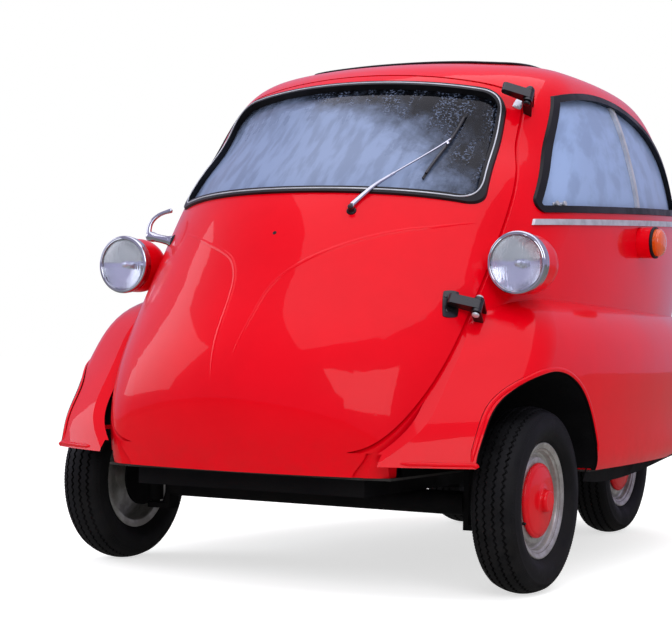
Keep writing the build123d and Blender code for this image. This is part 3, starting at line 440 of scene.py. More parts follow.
# %% Piece, lathe and sweep helpers
def add_piece(name, verts, faces, material, body, smooth=35.0):
    """Mesh piece in place, with clean outward faces."""
    mesh = bpy.data.meshes.new(name)
    mesh.from_pydata([tuple(v) for v in verts], [], faces)
    work = bmesh.new()
    work.from_mesh(mesh)
    bmesh.ops.remove_doubles(work, verts=work.verts, dist=0.00001)
    bmesh.ops.recalc_face_normals(work, faces=work.faces)
    for face in work.faces:
        face.smooth = True
    for edge in work.edges:
        edge.smooth = len(edge.link_faces) == 2 and edge.calc_face_angle(0) < math.radians(smooth)
    work.to_mesh(mesh)
    work.free()
    made = bpy.data.objects.new(name, mesh)
    bpy.context.collection.objects.link(made)
    mesh.materials.append(material)
    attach(made, body)
    return made


def lathe(profile, centre, axis, steps=96):
    """Vertices and faces of a closed profile (radius, distance along the axis) turned about the axis."""
    axis = Vector(axis).normalized()
    side = axis.orthogonal().normalized()
    up = axis.cross(side)
    centre = Vector(centre)
    verts, faces, count = [], [], len(profile)
    for i in range(steps):
        angle = 2 * math.pi * i / steps
        out = side * math.cos(angle) + up * math.sin(angle)
        verts += [centre + out * r + axis * w for r, w in profile]
    for i in range(steps):
        for k in range(count):
            a, b = i * count + k, i * count + (k + 1) % count
            c, d = ((i + 1) % steps) * count + (k + 1) % count, ((i + 1) % steps) * count + k
            faces.append((a, b, c, d))
    return verts, faces


def smooth_line(points, count=48, closed=False):
    """Evenly stepped Catmull-Rom line through the points."""
    pts = [np.array(p, float) for p in points]
    n = len(pts)
    runs = n if closed else n - 1
    fine = []
    for i in range(runs):
        p0 = pts[(i - 1) % n] if closed or i > 0 else 2 * pts[0] - pts[1]
        p1, p2 = pts[i % n], pts[(i + 1) % n]
        p3 = pts[(i + 2) % n] if closed or i + 2 < n else 2 * pts[-1] - pts[-2]
        for t in np.linspace(0, 1, 24, endpoint=False):
            fine.append(0.5 * (2 * p1 + (p2 - p0) * t + (2 * p0 - 5 * p1 + 4 * p2 - p3) * t**2
                               + (3 * p1 - p0 - 3 * p2 + p3) * t**3))
    fine.append(fine[0] if closed else pts[-1])
    fine = np.array(fine)
    along = np.concatenate([[0], np.cumsum(np.linalg.norm(np.diff(fine, axis=0), axis=1))])
    at = np.linspace(0, along[-1], count + 1)[: count if closed else count + 1]
    return np.column_stack([np.interp(at, along, fine[:, k]) for k in range(3)])


def sweep(line, normals, section, closed=False):
    """Closed section (across, out) carried along the line; normals say which way is out."""
    count, width = len(line), len(section[0]) if isinstance(section[0][0], (list, tuple)) else len(section)
    verts, faces = [], []
    for i in range(count):
        before = line[(i - 1) % count] if closed or i > 0 else line[i]
        after = line[(i + 1) % count] if closed or i < count - 1 else line[i]
        along = Vector(after - before).normalized()
        out = Vector(normals[i])
        out = (out - along * out.dot(along)).normalized()
        across = along.cross(out)
        shape = section[i] if isinstance(section[0][0], (list, tuple)) else section
        verts += [Vector(line[i]) + across * s + out * h for s, h in shape]
    for i in range(count if closed else count - 1):
        for k in range(width):
            a, b = i * width + k, i * width + (k + 1) % width
            c, d = ((i + 1) % count) * width + (k + 1) % width, ((i + 1) % count) * width + k
            faces.append((a, b, c, d))
    if not closed:
        faces.append(tuple(range(width - 1, -1, -1)))
        faces.append(tuple((count - 1) * width + k for k in range(width)))
    return verts, faces


def round_section(radius, steps=12, flat=1.0):
    return [
        (radius * math.cos(2 * math.pi * k / steps), flat * radius * math.sin(2 * math.pi * k / steps))
        for k in range(steps)
    ]


def slab_faces(wide, deep):
    """Faces of two stacked nets of wide by deep cells, and the closed rim between them."""
    row = wide + 1
    layer = row * (deep + 1)
    faces = []
    for j in range(deep):
        for i in range(wide):
            k = j * row + i
            faces += [
                (k, k + 1, k + row + 1, k + row),
                (layer + k, layer + k + row, layer + k + row + 1, layer + k + 1)
            ]
    edge = list(range(row)) + [j * row + wide for j in range(1, deep + 1)]
    edge += [deep * row + i for i in range(wide - 1, -1, -1)] + [j * row for j in range(deep - 1, 0, -1)]
    faces += [(a, b, b + layer, a + layer) for a, b in zip(edge, edge[1:] + edge[:1])]
    return faces, edge


# %% Points on the frame's surface
trees = {}


def surface(name):
    """Search tree over a node's triangles."""
    if name not in trees:
        mesh = nodes[name].data
        polygons = [tuple(p.vertices) for p in mesh.polygons]
        trees[name] = (BVHTree.FromPolygons([v.co[:] for v in mesh.vertices], polygons), mesh)
    return trees[name]


def settle(name, points, lift=0.0):
    """Nearest points on a node's surface and the surface's smooth normals there."""
    tree, mesh = surface(name)
    spots, normals = [], []
    for point in points:
        spot, flat, index, _ = tree.find_nearest(Vector(point))
        polygon = mesh.polygons[index]
        weights = [
            1 / ((mesh.vertices[mesh.loops[i].vertex_index].co - spot).length + 1e-6)
            for i in polygon.loop_indices
        ]
        normal = sum(
            (mesh.corner_normals[i].vector * w for i, w in zip(polygon.loop_indices, weights)), Vector()
        )
        normal.normalize()
        spots.append(np.array(spot + normal * lift))
        normals.append(normal)
    return np.array(spots), normals


def drop(name, points, direction, start=0.4, lift=0.0):
    """First hit on a node from outside along a direction, for each point."""
    tree, _ = surface(name)
    direction = Vector(direction).normalized()
    hits = []
    for point in points:
        spot, *_ = tree.ray_cast(Vector(point) - direction * start, direction, 2 * start)
        hits.append(np.array(spot) if spot else np.array(point))
    return settle(name, hits, lift)


# %% [markdown]
# ## Floor, light and camera
# A pale floor and a white surround, with broad soft lamps so that paint shows long gentle highlights. The
# camera stands low, in front of the left wheel.

# %% Floor and surround
GLOSS_SHARE = 0.25      # how much of the white surround glossy rays see
GLOSS_DARKER = 0.72     # how much darker the floor is to them
SKY_TINT = (0.74, 0.68, 1.0, 1.0)


def seen_ray(tree):
    """1 for camera and transmission rays, a part for glossy rays, 0 for the rest."""
    path = node(tree, "ShaderNodeLightPath")
    gloss = math_node(tree, "MULTIPLY", path.outputs["Is Glossy Ray"], GLOSS_SHARE)
    first = math_node(tree, "ADD", path.outputs["Is Camera Ray"], gloss)
    return math_node(tree, "ADD", first, path.outputs["Is Transmission Ray"], clamp=True)


def pale_material(name, shade, strength):
    """Pale surface that shows near white to the camera, metal and glass, and still takes shadow."""
    made = bpy.data.materials.new(name)
    made.use_nodes = True
    tree = made.node_tree
    shader = tree.nodes["Principled BSDF"]
    path = node(tree, "ShaderNodeLightPath")
    tree.links.new(
        math_node(tree, "MULTIPLY_ADD", path.outputs["Is Glossy Ray"], -GLOSS_DARKER, shade),
        shader.inputs["Base Color"]
    )
    shader.inputs["Roughness"].default_value = 0.9
    shader.inputs["Specular IOR Level"].default_value = 0.0
    shader.inputs["Emission Color"].default_value = (1, 1, 1, 1)
    tree.links.new(math_node(tree, "MULTIPLY", seen_ray(tree), strength), shader.inputs["Emission Strength"])
    return made


def studio_floor(size=60.0):
    mesh = bpy.data.meshes.new("studio_floor")
    half = size / 2
    mesh.from_pydata(
        [(-half, -half, 0), (half, -half, 0), (half, half, 0), (-half, half, 0)], [], [(0, 1, 2, 3)]
    )
    made = bpy.data.objects.new("studio_floor", mesh)
    bpy.context.collection.objects.link(made)
    mesh.materials.append(pale_material("floor_white", 0.85, 0.64))
    return made


studio_floor()
world = bpy.data.worlds.new("surround")
bpy.context.scene.world = world
world.use_nodes = True
sky = world.node_tree
background = sky.nodes["Background"]
sky.links.new(math_node(sky, "MULTIPLY_ADD", seen_ray(sky), 0.5, 0.5), background.inputs["Strength"])
sky_path = node(sky, "ShaderNodeLightPath")
sky_tint = node(sky, "ShaderNodeMix", data_type="RGBA")
sky.links.new(sky_path.outputs["Is Glossy Ray"], sky_tint.inputs["Factor"])
for socket, tint in zip((6, 7), ((1.0, 1.0, 1.0, 1.0), SKY_TINT)):
    sky_tint.inputs[socket].default_value = tint
sky.links.new(sky_tint.outputs[2], background.inputs["Color"])


# %% Lamps
def area_lamp(name, spot, target, width, height, power, colour=(1, 1, 1)):
    data = bpy.data.lights.new(name, "AREA")
    data.shape = "RECTANGLE"
    data.size, data.size_y, data.energy, data.color = width, height, power, colour
    made = bpy.data.objects.new(name, data)
    bpy.context.collection.objects.link(made)
    made.location = spot
    made.rotation_euler = (Vector(target) - Vector(spot)).to_track_quat("-Z", "Y").to_euler()
    return made


area_lamp("top_light", (0.3, -0.4, 4.2), (0, 0, 0.6), 4.5, 5.0, 110, (0.93, 0.94, 1.0))
area_lamp("front_light", (3.4, -5.2, 3.4), (0, -0.5, 0.7), 4.5, 3.2, 130, (0.97, 0.97, 1.0))
area_lamp("side_light", (-4.8, -1.8, 2.6), (0, 0, 0.7), 3.6, 3.0, 70, (0.93, 0.94, 1.0))
scene = bpy.context.scene
scene.view_settings.view_transform = "Standard"


# %% Camera
def aim_camera(spot, turn, tilt, roll, lens, shift_x, shift_y):
    """Camera from its heading, tilt and roll in radians."""
    data = bpy.data.cameras.new("view")
    made = bpy.data.objects.new("view", data)
    bpy.context.collection.objects.link(made)
    ahead = Vector((-math.sin(turn) * math.cos(tilt), math.cos(turn) * math.cos(tilt), math.sin(tilt)))
    right = Vector((math.cos(turn), math.sin(turn), 0))
    up = right.cross(ahead)
    tilted_right = right * math.cos(roll) + up * math.sin(roll)
    tilted_up = up * math.cos(roll) - right * math.sin(roll)
    made.matrix_world = Matrix((
        (tilted_right.x, tilted_up.x, -ahead.x, spot[0]),
        (tilted_right.y, tilted_up.y, -ahead.y, spot[1]),
        (tilted_right.z, tilted_up.z, -ahead.z, spot[2]),
        (0, 0, 0, 1),
    ))
    data.sensor_width = 36.0
    data.lens, data.shift_x, data.shift_y = lens, shift_x, shift_y
    return made


scene.camera = aim_camera((2.3239, -4.7590, 0.6146), 0.497, 0.006, 0.019, 96.0, -0.0298, 0.0284)
print("camera at", tuple(round(v, 3) for v in scene.camera.location))


# %% [markdown]
# ## Tyres
# A cross-ply tyre has straight ribs with zigzag grooves, a ring of fine teeth on each shoulder and a smooth
# sidewall. Its section could be turned on a lathe, but then no groove could wander. So the section is
# stepped round the wheel, and the groove points sway from side to side at each step.

# %% Tyre section
TREAD_RADIUS = 0.229
TREAD_HALF = 0.0462
CROWN = 0.0118
GROOVE_DEPTH = 0.0065
ZIGZAG = 0.0028
TOOTH = 0.0016


def tread_radius(across, depth=0.0):
    """Radius of the crowned tread at a place across it."""
    return TREAD_RADIUS - CROWN * (across / TREAD_HALF) ** 2 - depth


def tyre_section(step):
    """Closed section (radius, across) at one step round the tyre."""
    sway = (0, 1, 0, -1)[step % 4] * ZIGZAG
    tooth = TOOTH if step % 2 else 0.0
    tread = [(0.2172, TREAD_HALF)]
    for middle in (0.033, 0.0115, -0.0115, -0.033):
        for off, depth in ((0.0032, 0), (0.0021, GROOVE_DEPTH), (-0.0021, GROOVE_DEPTH), (-0.0032, 0)):
            across = middle + off + sway
            tread.append((tread_radius(across, depth), across))
        if middle > -0.03:
            between = middle - 0.01075 + sway
            tread.append((tread_radius(between), between))
    tread.append((0.2172, -TREAD_HALF))
    wall = [
        (0.1278, 0.0300), (0.1278, 0.0372), (0.1320, 0.0386), (0.1435, 0.0394), (0.1470, 0.0420),
        (0.1490, 0.0462),
        (0.1512, 0.0478), (0.1600, 0.0553), (0.1700, 0.0590), (0.1800, 0.0598), (0.1900, 0.0590),
        (0.1985, 0.0571),
        (0.2010, 0.0572), (0.2030, 0.0560), (0.2042, 0.0546 + tooth), (0.2085, 0.0528 + tooth),
        (0.2125, 0.0503 + tooth * 0.8),
        (0.2150, 0.0484),
    ]
    return wall + tread + [(r, -w) for r, w in reversed(wall)]


def build_tyre(wheel, steps=320):
    x, y, side = WHEEL_PLACES[wheel]
    verts, faces, count = [], [], len(tyre_section(0))
    for i in range(steps):
        angle = 2 * math.pi * i / steps
        verts += [
            (x + side * w, y + r * math.cos(angle), HUB_Z + r * math.sin(angle)) for r, w in tyre_section(i)
        ]
    for i in range(steps):
        for k in range(count):
            n, m = (i + 1) % steps, (k + 1) % count
            faces.append((i * count + k, i * count + m, n * count + m, n * count + k))
    made = add_piece(f"{wheel}_tread", verts, faces, tyre_rubber, f"{wheel}_wheel", smooth=32)
    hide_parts(f"{wheel}_tyre")
    return made


tyres = [build_tyre(wheel) for wheel in WHEEL_PLACES]
print("tyre triangles each:", 2 * len(tyres[0].data.polygons))

# %% [markdown]
# ## Rims and hub caps
# A pressed steel rim is all curves: rolled flanges, a ledge for the tyre's bead and a dished disc. The hub
# cap is one pressing with a stepped edge and a round boss. Both are round, so a lathe profile is the
# natural way.

# %% Rims and caps
RIM_PROFILE = [
    (0.1425, 0.0405), (0.1432, 0.0388), (0.1290, 0.0380), (0.1271, 0.0362), (0.1268, 0.0300),
    (0.1266, -0.0300), (0.1271, -0.0362),
    (0.1290, -0.0380), (0.1432, -0.0388), (0.1425, -0.0410), (0.1400, -0.0416), (0.1240, -0.0398),
    (0.1213, -0.0360),
    (0.1210, -0.0300), (0.1210, 0.0050), (0.1160, 0.0110), (0.0990, 0.0118), (0.0360, 0.0118),
    (0.0340, 0.0100), (0.0340, -0.0450),
    (0.0152, -0.0450), (0.0152, 0.0240), (0.0340, 0.0240), (0.0350, 0.0182), (0.0760, 0.0182),
    (0.0790, 0.0250), (0.0830, 0.0262),
    (0.1000, 0.0262), (0.1050, 0.0252), (0.1090, 0.0215), (0.1125, 0.0185), (0.1170, 0.0180),
    (0.1196, 0.0195), (0.1206, 0.0225),
    (0.1212, 0.0300), (0.1222, 0.0322), (0.1252, 0.0330), (0.1268, 0.0342), (0.1282, 0.0368),
    (0.1300, 0.0384), (0.1340, 0.0396),
    (0.1370, 0.0412), (0.1395, 0.0420), (0.1415, 0.0418),
]
CAP_PROFILE = [
    (0.0, 0.0262), (0.0905, 0.0262), (0.0918, 0.0275), (0.0922, 0.0300), (0.0916, 0.0330), (0.0900, 0.0352),
    (0.0868, 0.0368),
    (0.0846, 0.0372), (0.0836, 0.0384), (0.0815, 0.0396), (0.0760, 0.0407), (0.0600, 0.0427),
    (0.0450, 0.0441), (0.0350, 0.0449),
    (0.0305, 0.0462), (0.0284, 0.0486), (0.0277, 0.0520), (0.0272, 0.0580), (0.0262, 0.0612),
    (0.0240, 0.0630), (0.0205, 0.0637),
    (0.0190, 0.0632), (0.0165, 0.0634), (0.0, 0.0638),
]
for wheel, (x, y, side) in WHEEL_PLACES.items():
    centre = Vector((x, y, HUB_Z))
    rim = add_piece(
        f"{wheel}_pressed_rim", *lathe(RIM_PROFILE, centre, (side, 0, 0), 128), silver_rim, f"{wheel}_wheel",
        30
    )
    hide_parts(f"{wheel}_rim")
    cap = add_piece(
        f"{wheel}_hub_cap", *lathe(CAP_PROFILE, centre, (side, 0, 0), 128), cap_paint, f"{wheel}_wheel", 40
    )
    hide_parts(f"{wheel}_cap")
    lean = math.radians(205)
    stem = centre + Vector((side * 0.030, 0.1145 * math.cos(lean), 0.1145 * math.sin(lean)))
    valve = [
        (0.0, -0.014), (0.0048, -0.014), (0.0048, -0.004), (0.0040, 0.0), (0.0034, 0.006), (0.0036, 0.0066),
        (0.0036, 0.012), (0.0028, 0.0135), (0.0, 0.0135)
    ]
    made = add_piece(f"{wheel}_valve", *lathe(valve, stem, (side, 0, 0), 20), black_rubber, f"{wheel}_wheel")
print("rims, caps and valves:", 3 * len(WHEEL_PLACES))

# %% [markdown]
# ## Headlamps
# A headlamp is a chrome bezel, a glass lens and a mirror bowl with a bulb in front of it. The lens spreads
# light with upright flutes, so its front face is a dome whose height ripples across. The ripple changes
# pitch in bands, which gives the broken, sparkling look of old glass.

# %% Lamp bezels and bowls
LAMP_X, LAMP_Y, LAMP_Z = 586, -52, 808
FORWARD = (0, -1, 0)
BEZEL = [
    (0.0680, 0.0040), (0.0690, 0.0062), (0.0704, 0.0070), (0.0722, 0.0062), (0.0732, 0.0066),
    (0.0758, 0.0062), (0.0780, 0.0040),
    (0.0789, 0.0010), (0.0790, -0.0030), (0.0783, -0.0060), (0.0776, -0.0068), (0.0770, -0.0110),
    (0.0764, -0.0185), (0.0768, -0.0200),
    (0.0764, -0.0218), (0.0745, -0.0218), (0.0682, -0.0212), (0.0680, -0.0100),
]
BOWL = [(0.0672 * k / 12, -0.0200 + 0.0180 * (k / 12) ** 2) for k in range(13)]
BOWL += [(r, w - 0.0014) for r, w in reversed(BOWL)]
BULB = [
    (0.0, -0.0190), (0.0100, -0.0190), (0.0100, -0.0165), (0.0070, -0.0155), (0.0068, -0.0120),
    (0.0085, -0.0080), (0.0090, -0.0040), (0.0070, -0.0005), (0.0040, 0.0010), (0.0, 0.0014)
]
for side, hand in ((1, "left"), (-1, "right")):
    centre = place(side * LAMP_X, LAMP_Y, LAMP_Z)
    bezel = add_piece(f"{hand}_lamp_bezel", *lathe(BEZEL, centre, FORWARD, 128), bright_chrome, "root", 40)
    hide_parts("lamp_rings")
    bowl = add_piece(f"{hand}_lamp_bowl", *lathe(BOWL, centre, FORWARD, 96), mirror_bowl, "root")
    bulb = add_piece(f"{hand}_lamp_bulb", *lathe(BULB, centre, FORWARD, 32), mirror_bowl, "root")


# %% Fluted lenses
def fluted_lens(name, centre, cells=84, radius=0.0677):
    """Dome on a square net pressed into a disc, rippled in front, smooth behind."""
    verts = []
    for layer in (0, 1):
        for j in range(cells + 1):
            for i in range(cells + 1):
                u, v = 2 * i / cells - 1, 2 * j / cells - 1
                across, high = radius * u * math.sqrt(1 - v * v / 2), radius * v * math.sqrt(1 - u * u / 2)
                share = min(1.0, math.hypot(across, high) / radius)
                height = 0.004 + 0.016 * (1 - share**2) ** 0.9
                if layer:
                    height = max(height - 0.0035, 0.0015)
                elif share < 0.97:
                    pitch = 0.0062 if abs(high) < 0.026 else 0.0088
                    height += 0.0009 * abs(math.cos(math.pi * across / pitch)) + (0.0005 if abs(high) < 0.026 else 0.0)
                verts.append((centre[0] + across, centre[1] - height, centre[2] + high))
    made = add_piece(name, verts, slab_faces(cells, cells)[0], lens_glass, "root", 50)
    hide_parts("lamp_lenses")
    return made


lenses = [
    fluted_lens(f"{hand}_fluted_lens", place(side * LAMP_X, LAMP_Y, LAMP_Z)) for side,
    hand in ((1, "left"), (-1, "right"))
]
print("lens faces:", [len(o.data.polygons) for o in lenses])

# %% [markdown]
# ## Windscreen rubber and its bright insert
# The rubber round the screen holds a thin bright strip in its middle groove. The strip's path is the
# screen's outline, drawn flat in the tilted plane of the glass, brought in by half the rubber's width and
# dropped onto the rubber.

# %% Bright insert
SCREEN_X, SCREEN_Y = Vector((1, 0, 0)), Vector((0, 0.728, 0.6856)).normalized()
SCREEN_OUT = SCREEN_X.cross(SCREEN_Y) * -1
if SCREEN_OUT.y > 0:
    SCREEN_OUT.negate()


def arc_points(start, middle, end, count):
    """Points on the circle through three flat points."""
    (ax, ay), (bx, by), (cx, cy) = start, middle, end
    d = 2 * (ax * (by - cy) + bx * (cy - ay) + cx * (ay - by))
    ux = ((ax**2 + ay**2) * (by - cy) + (bx**2 + by**2) * (cy - ay) + (cx**2 + cy**2) * (ay - by)) / d
    uy = ((ax**2 + ay**2) * (cx - bx) + (bx**2 + by**2) * (ax - cx) + (cx**2 + cy**2) * (bx - ax)) / d
    radius = math.hypot(ax - ux, ay - uy)
    a0, a1 = math.atan2(ay - uy, ax - ux), math.atan2(cy - uy, cx - ux)
    turn = (a1 - a0 + math.pi) % (2 * math.pi) - math.pi
    return [
        (ux + radius * math.cos(a0 + turn * k / count), uy + radius * math.sin(a0 + turn * k / count))
        for k in range(count)
    ]


def rounded(points, corners, radius):
    """Corner points of a flat outline replaced by curves, reaching radius times the corner's slack."""
    out = []
    n = len(points)
    for i, p in enumerate(points):
        near = min((math.dist(p, c), c) for c in corners)
        if near[0] > radius * 1.02:
            out.append(p)
            continue
        if near[0] > 1e-6:
            continue
        before = next(points[(i - k) % n] for k in range(1, n) if math.dist(points[(i - k) % n], p) > radius)
        after = next(points[(i + k) % n] for k in range(1, n) if math.dist(points[(i + k) % n], p) > radius)
        for k in range(13):
            t = k / 12
            w = 0.62 * 2 * t * (1 - t)
            a, b = (1 - t) ** 2, t**2
            s = a + b + w * 1.6
            out.append(tuple((a * before[m] + b * after[m] + w * 1.6 * p[m]) / s for m in (0, 1)))
    return out


def inset(points, amount):
    """Closed anticlockwise outline moved inwards."""
    out, n = [], len(points)
    for i, p in enumerate(points):
        a, b = points[i - 1], points[(i + 1) % n]
        dx, dy = b[0] - a[0], b[1] - a[1]
        long = math.hypot(dx, dy)
        out.append((p[0] - dy / long * amount, p[1] + dx / long * amount))
    return out


low_left, low_right, top_right, top_left = (-457, -120), (457, -120), (413, 273), (-413, 273)
outline = arc_points(low_left, (0, -236), low_right, 60)
outline += [(457 - 44 * k / 20, -120 + 393 * k / 20) for k in range(20)]
outline += arc_points(top_right, (0, 236), top_left, 50)
outline += [(-413 - 44 * k / 20, 273 - 393 * k / 20) for k in range(20)]
outline = rounded(outline, [low_left, low_right, top_right, top_left], 62)
strip_flat = inset(outline, 9.6)
strip_start = [place(0, 18, 1148) + (SCREEN_X * u + SCREEN_Y * v) / 1000 for u, v in strip_flat]
strip_line = smooth_line(strip_start, 260, closed=True)
strip_spots, strip_normals = drop("windscreen_seal", strip_line, tuple(-SCREEN_OUT), 0.25)
insert_section = [
    (-0.0019, -0.0012), (0.0019, -0.0012), (0.0019, 0.0007), (0.0012, 0.0016), (0.0, 0.0019),
    (-0.0012, 0.0016), (-0.0019, 0.0007)
]
insert = add_piece(
    "screen_insert", *sweep(strip_spots, strip_normals, insert_section, closed=True), satin_aluminium, "door"
)
print("insert points:", len(strip_spots), "lowest", round(float(strip_spots[:, 2].min()), 3))

# %% [markdown]
# ## Wiper
# One wiper sits low on the door's screen side: a nut on a black base, a flat tapering arm and a thin rod
# that carries the blade. The arm is a sweep whose section changes along it, and the blade is a slim rubber
# in a metal back that follows the glass.

# %% Wiper arm and blade
def on_glass(x, y, z, lift):
    """Point above the glass, with the lift in millimetres."""
    spots, _ = drop("windscreen", [place(x, y, z)], tuple(-SCREEN_OUT), 0.25, lift / 1000)
    return spots[0]


pivot = Vector(place(182, -157, 932))
pivot_spot, pivot_normal = settle("front_door", [pivot])
pivot, out = Vector(pivot_spot[0]), pivot_normal[0]
base_profile = [
    (0.0, -0.004), (0.0125, -0.004), (0.0125, 0.0010), (0.0112, 0.0032), (0.0088, 0.0042), (0.0080, 0.0110),
    (0.0072, 0.0120), (0.0, 0.0120)
]
nut_profile = [
    (0.0, 0.0115), (0.0068, 0.0115), (0.0074, 0.0130), (0.0074, 0.0185), (0.0062, 0.0205), (0.0036, 0.0212),
    (0.0030, 0.0232), (0.0, 0.0236)
]
wiper_parts = [
    add_piece("wiper_base", *lathe(base_profile, pivot, out, 40), black_rubber, "door"),
    add_piece("wiper_nut", *lathe(nut_profile, pivot, out, 40), hinge_black, "door", 30),
]
arm_points = [
    pivot + out * 0.016, Vector(place(183, -140, 950)), Vector(place(214, -96, 992)),
    Vector(place(247, -50, 1030))
]
rod_mid = on_glass(300, 60, 1095, 14)
rod_end = on_glass(322, 108, 1128, 15)
arm_points = [p + out * lift for p, lift in zip(arm_points, (0.002, 0.013, 0.016, 0.012))]
arm_line = smooth_line([tuple(p) for p in arm_points], 36)
arm_sections = []
for k in range(len(arm_line)):
    t = k / (len(arm_line) - 1)
    wide, tall = 0.0074 - 0.0040 * t, 0.0034 - 0.0008 * t
    upper = [(wide * 1.02, tall * 0.3), (wide * 0.6, tall), (-wide * 0.6, tall), (-wide * 1.02, tall * 0.3)]
    arm_sections.append([(-wide, -tall), (wide, -tall)] + upper)
arm_shape = sweep(arm_line, [out] * len(arm_line), arm_sections)
wiper_parts.append(add_piece("wiper_arm", *arm_shape, bright_chrome, "door", 30))
rod_line = smooth_line(
    [
        tuple(arm_points[-2] * 0.3 + arm_points[-1] * 0.7), tuple(arm_points[-1]), tuple(rod_mid),
        tuple(rod_end)
    ],
    40
)
rod_shape = sweep(rod_line, [out] * len(rod_line), round_section(0.0026))
wiper_parts.append(add_piece("wiper_rod", *rod_shape, bright_chrome, "door"))
blade_low, blade_high = (309, -22, 1024), (330, 190, 1205)
blade_start = [
    place(*(a + (b - a) * t for a, b in zip(blade_low, blade_high))) for t in np.linspace(0, 1, 33)
]
blade_spots, blade_normals = drop("windscreen", blade_start, tuple(-SCREEN_OUT), 0.25, 0.0)
rubber_section = [
    (-0.0008, 0.0006), (0.0008, 0.0006), (0.0013, 0.0045), (0.0032, 0.0060), (0.0032, 0.0085),
    (-0.0032, 0.0085), (-0.0032, 0.0060), (-0.0013, 0.0045)
]
back_section = [
    (-0.0036, 0.0080), (0.0036, 0.0080), (0.0038, 0.0105), (0.0014, 0.0125), (-0.0014, 0.0125),
    (-0.0038, 0.0105)
]
rubber_shape = sweep(blade_spots, blade_normals, rubber_section)
wiper_parts.append(add_piece("wiper_rubber", *rubber_shape, black_rubber, "door", 30))
back_shape = sweep(blade_spots[2:-2], blade_normals[2:-2], back_section)
wiper_parts.append(add_piece("wiper_back", *back_shape, hinge_black, "door", 30))
middle_spot, middle_normal = Vector(blade_spots[17]), blade_normals[17]
clip_profile = [
    (0.0, 0.0100), (0.0052, 0.0100), (0.0056, 0.0125), (0.0050, 0.0165), (0.0032, 0.0178), (0.0, 0.0180)
]
clip_shape = lathe(clip_profile, middle_spot, middle_normal, 28)
wiper_parts.append(add_piece("wiper_clip", *clip_shape, bright_chrome, "door", 30))
for made in wiper_parts:
    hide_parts("wiper")
print("wiper pieces:", [o.name for o in wiper_parts])

# %% [markdown]
# ## Door handle
# The handle is a chrome boss with a slim lever that curves up and in. A boss is a lathe form on a slanted
# axis; the lever is a round section swept along four points, thinner in its middle and with a round tip.

# %% Door handle
boss_foot, boss_end = place(-420, -38, 867), place(-508, -52, 886)
boss_axis = (boss_end - boss_foot).normalized()
boss_long = (boss_end - boss_foot).length
boss_profile = [
    (0.0, -0.004), (0.0165, -0.004), (0.0170, 0.004), (0.0160, 0.018), (0.0140, 0.024), (0.0118, 0.032),
    (0.0110, 0.050), (0.0114, 0.066),
    (0.0128, 0.070), (0.0138, 0.076), (0.0136, boss_long - 0.006), (0.0118, boss_long - 0.001),
    (0.0080, boss_long + 0.0015), (0.0, boss_long + 0.002),
]
gasket_profile = [
    (0.0, -0.006), (0.0200, -0.006), (0.0212, 0.002), (0.0206, 0.010), (0.0188, 0.0125), (0.0, 0.0125)
]
lever_line = smooth_line(
    [
        tuple(place(*p))
        for p in ((-500, -50, 878), (-505, -50, 900), (-499, -45, 925), (-480, -34, 945), (-449, -21, 957))
    ],
    48
)
lever_sections = []
for k in range(len(lever_line)):
    t = k / (len(lever_line) - 1)
    radius = 0.0088 - 0.0036 * math.sin(math.pi * min(1, t * 1.15) / 2) + 0.0016 * max(0.0, t - 0.8) / 0.2
    radius *= math.sqrt(max(0.02, 1 - max(0.0, (t - 0.965) / 0.035) ** 2))
    lever_sections.append(round_section(radius, 16, 0.85))
handle_parts = [
    add_piece("handle_gasket", *lathe(gasket_profile, boss_foot, boss_axis, 48), black_rubber, "door"),
    add_piece("handle_boss", *lathe(boss_profile, boss_foot, boss_axis, 64), bright_chrome, "door", 40),
    add_piece(
        "handle_lever", *sweep(lever_line, [Vector((0, -1, 0))] * len(lever_line), lever_sections),
        bright_chrome, "door", 60
    ),
]
for made in handle_parts:
    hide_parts("door_handle")
print("handle pieces:", [o.name for o in handle_parts])

# %% [markdown]
# ## Hinge fittings
# The frame's hinges have their true plates and pins. Pale leaf plates under the arms, domed pin heads and
# domed screws finish them. The leaf is a flat plate settled on the door's skin, so it follows the curve.

# %% Pin heads and leaves
HINGE_LOW, HINGE_HIGH = place(516, -124, 700), place(476, 258, 1260)
hinge_up = (HINGE_HIGH - HINGE_LOW).normalized()
head_profile = [
    (0.0, 0.0), (0.0090, 0.0), (0.0094, 0.0016), (0.0086, 0.0040), (0.0060, 0.0058), (0.0, 0.0064)
]
for name, middle in (("low", HINGE_LOW), ("high", HINGE_HIGH)):
    for end, direction in (("top", 1), ("bottom", -1)):
        spot = middle + hinge_up * direction * 0.0240
        made = add_piece(
            f"{name}_hinge_{end}_head", *lathe(head_profile, spot, hinge_up * direction, 32),
            satin_aluminium if name == "low" else hinge_black, "root", 40
        )


def leaf_plate(name, corners, material, thickness=0.0035, cells=8):
    """Rounded plate on the door's skin between four corner points."""
    a, b, c, d = (np.array(place(*p)) for p in corners)
    flat = []
    for j in range(cells + 1):
        for i in range(cells + 1):
            u, v = i / cells, j / cells
            flat.append(a * (1 - u) * (1 - v) + b * u * (1 - v) + c * u * v + d * (1 - u) * v)
    spots, normals = settle("front_door", flat)
    row, verts = cells + 1, []
    centre = spots.mean(axis=0)
    for layer in (-0.0006, thickness):
        for k, (spot, normal) in enumerate(zip(spots, normals)):
            u, v = (k % row) / cells * 2 - 1, (k // row) / cells * 2 - 1
            pull = 1 - 0.10 * (abs(u * v) ** 2)
            lowered = layer if layer < 0 else layer * (1 - 0.35 * max(abs(u), abs(v)) ** 8)
            verts.append(Vector(centre + (spot - centre) * pull) + normal * lowered)
    made = add_piece(name, verts, slab_faces(cells, cells)[0], material, "door", 40)
    return spots


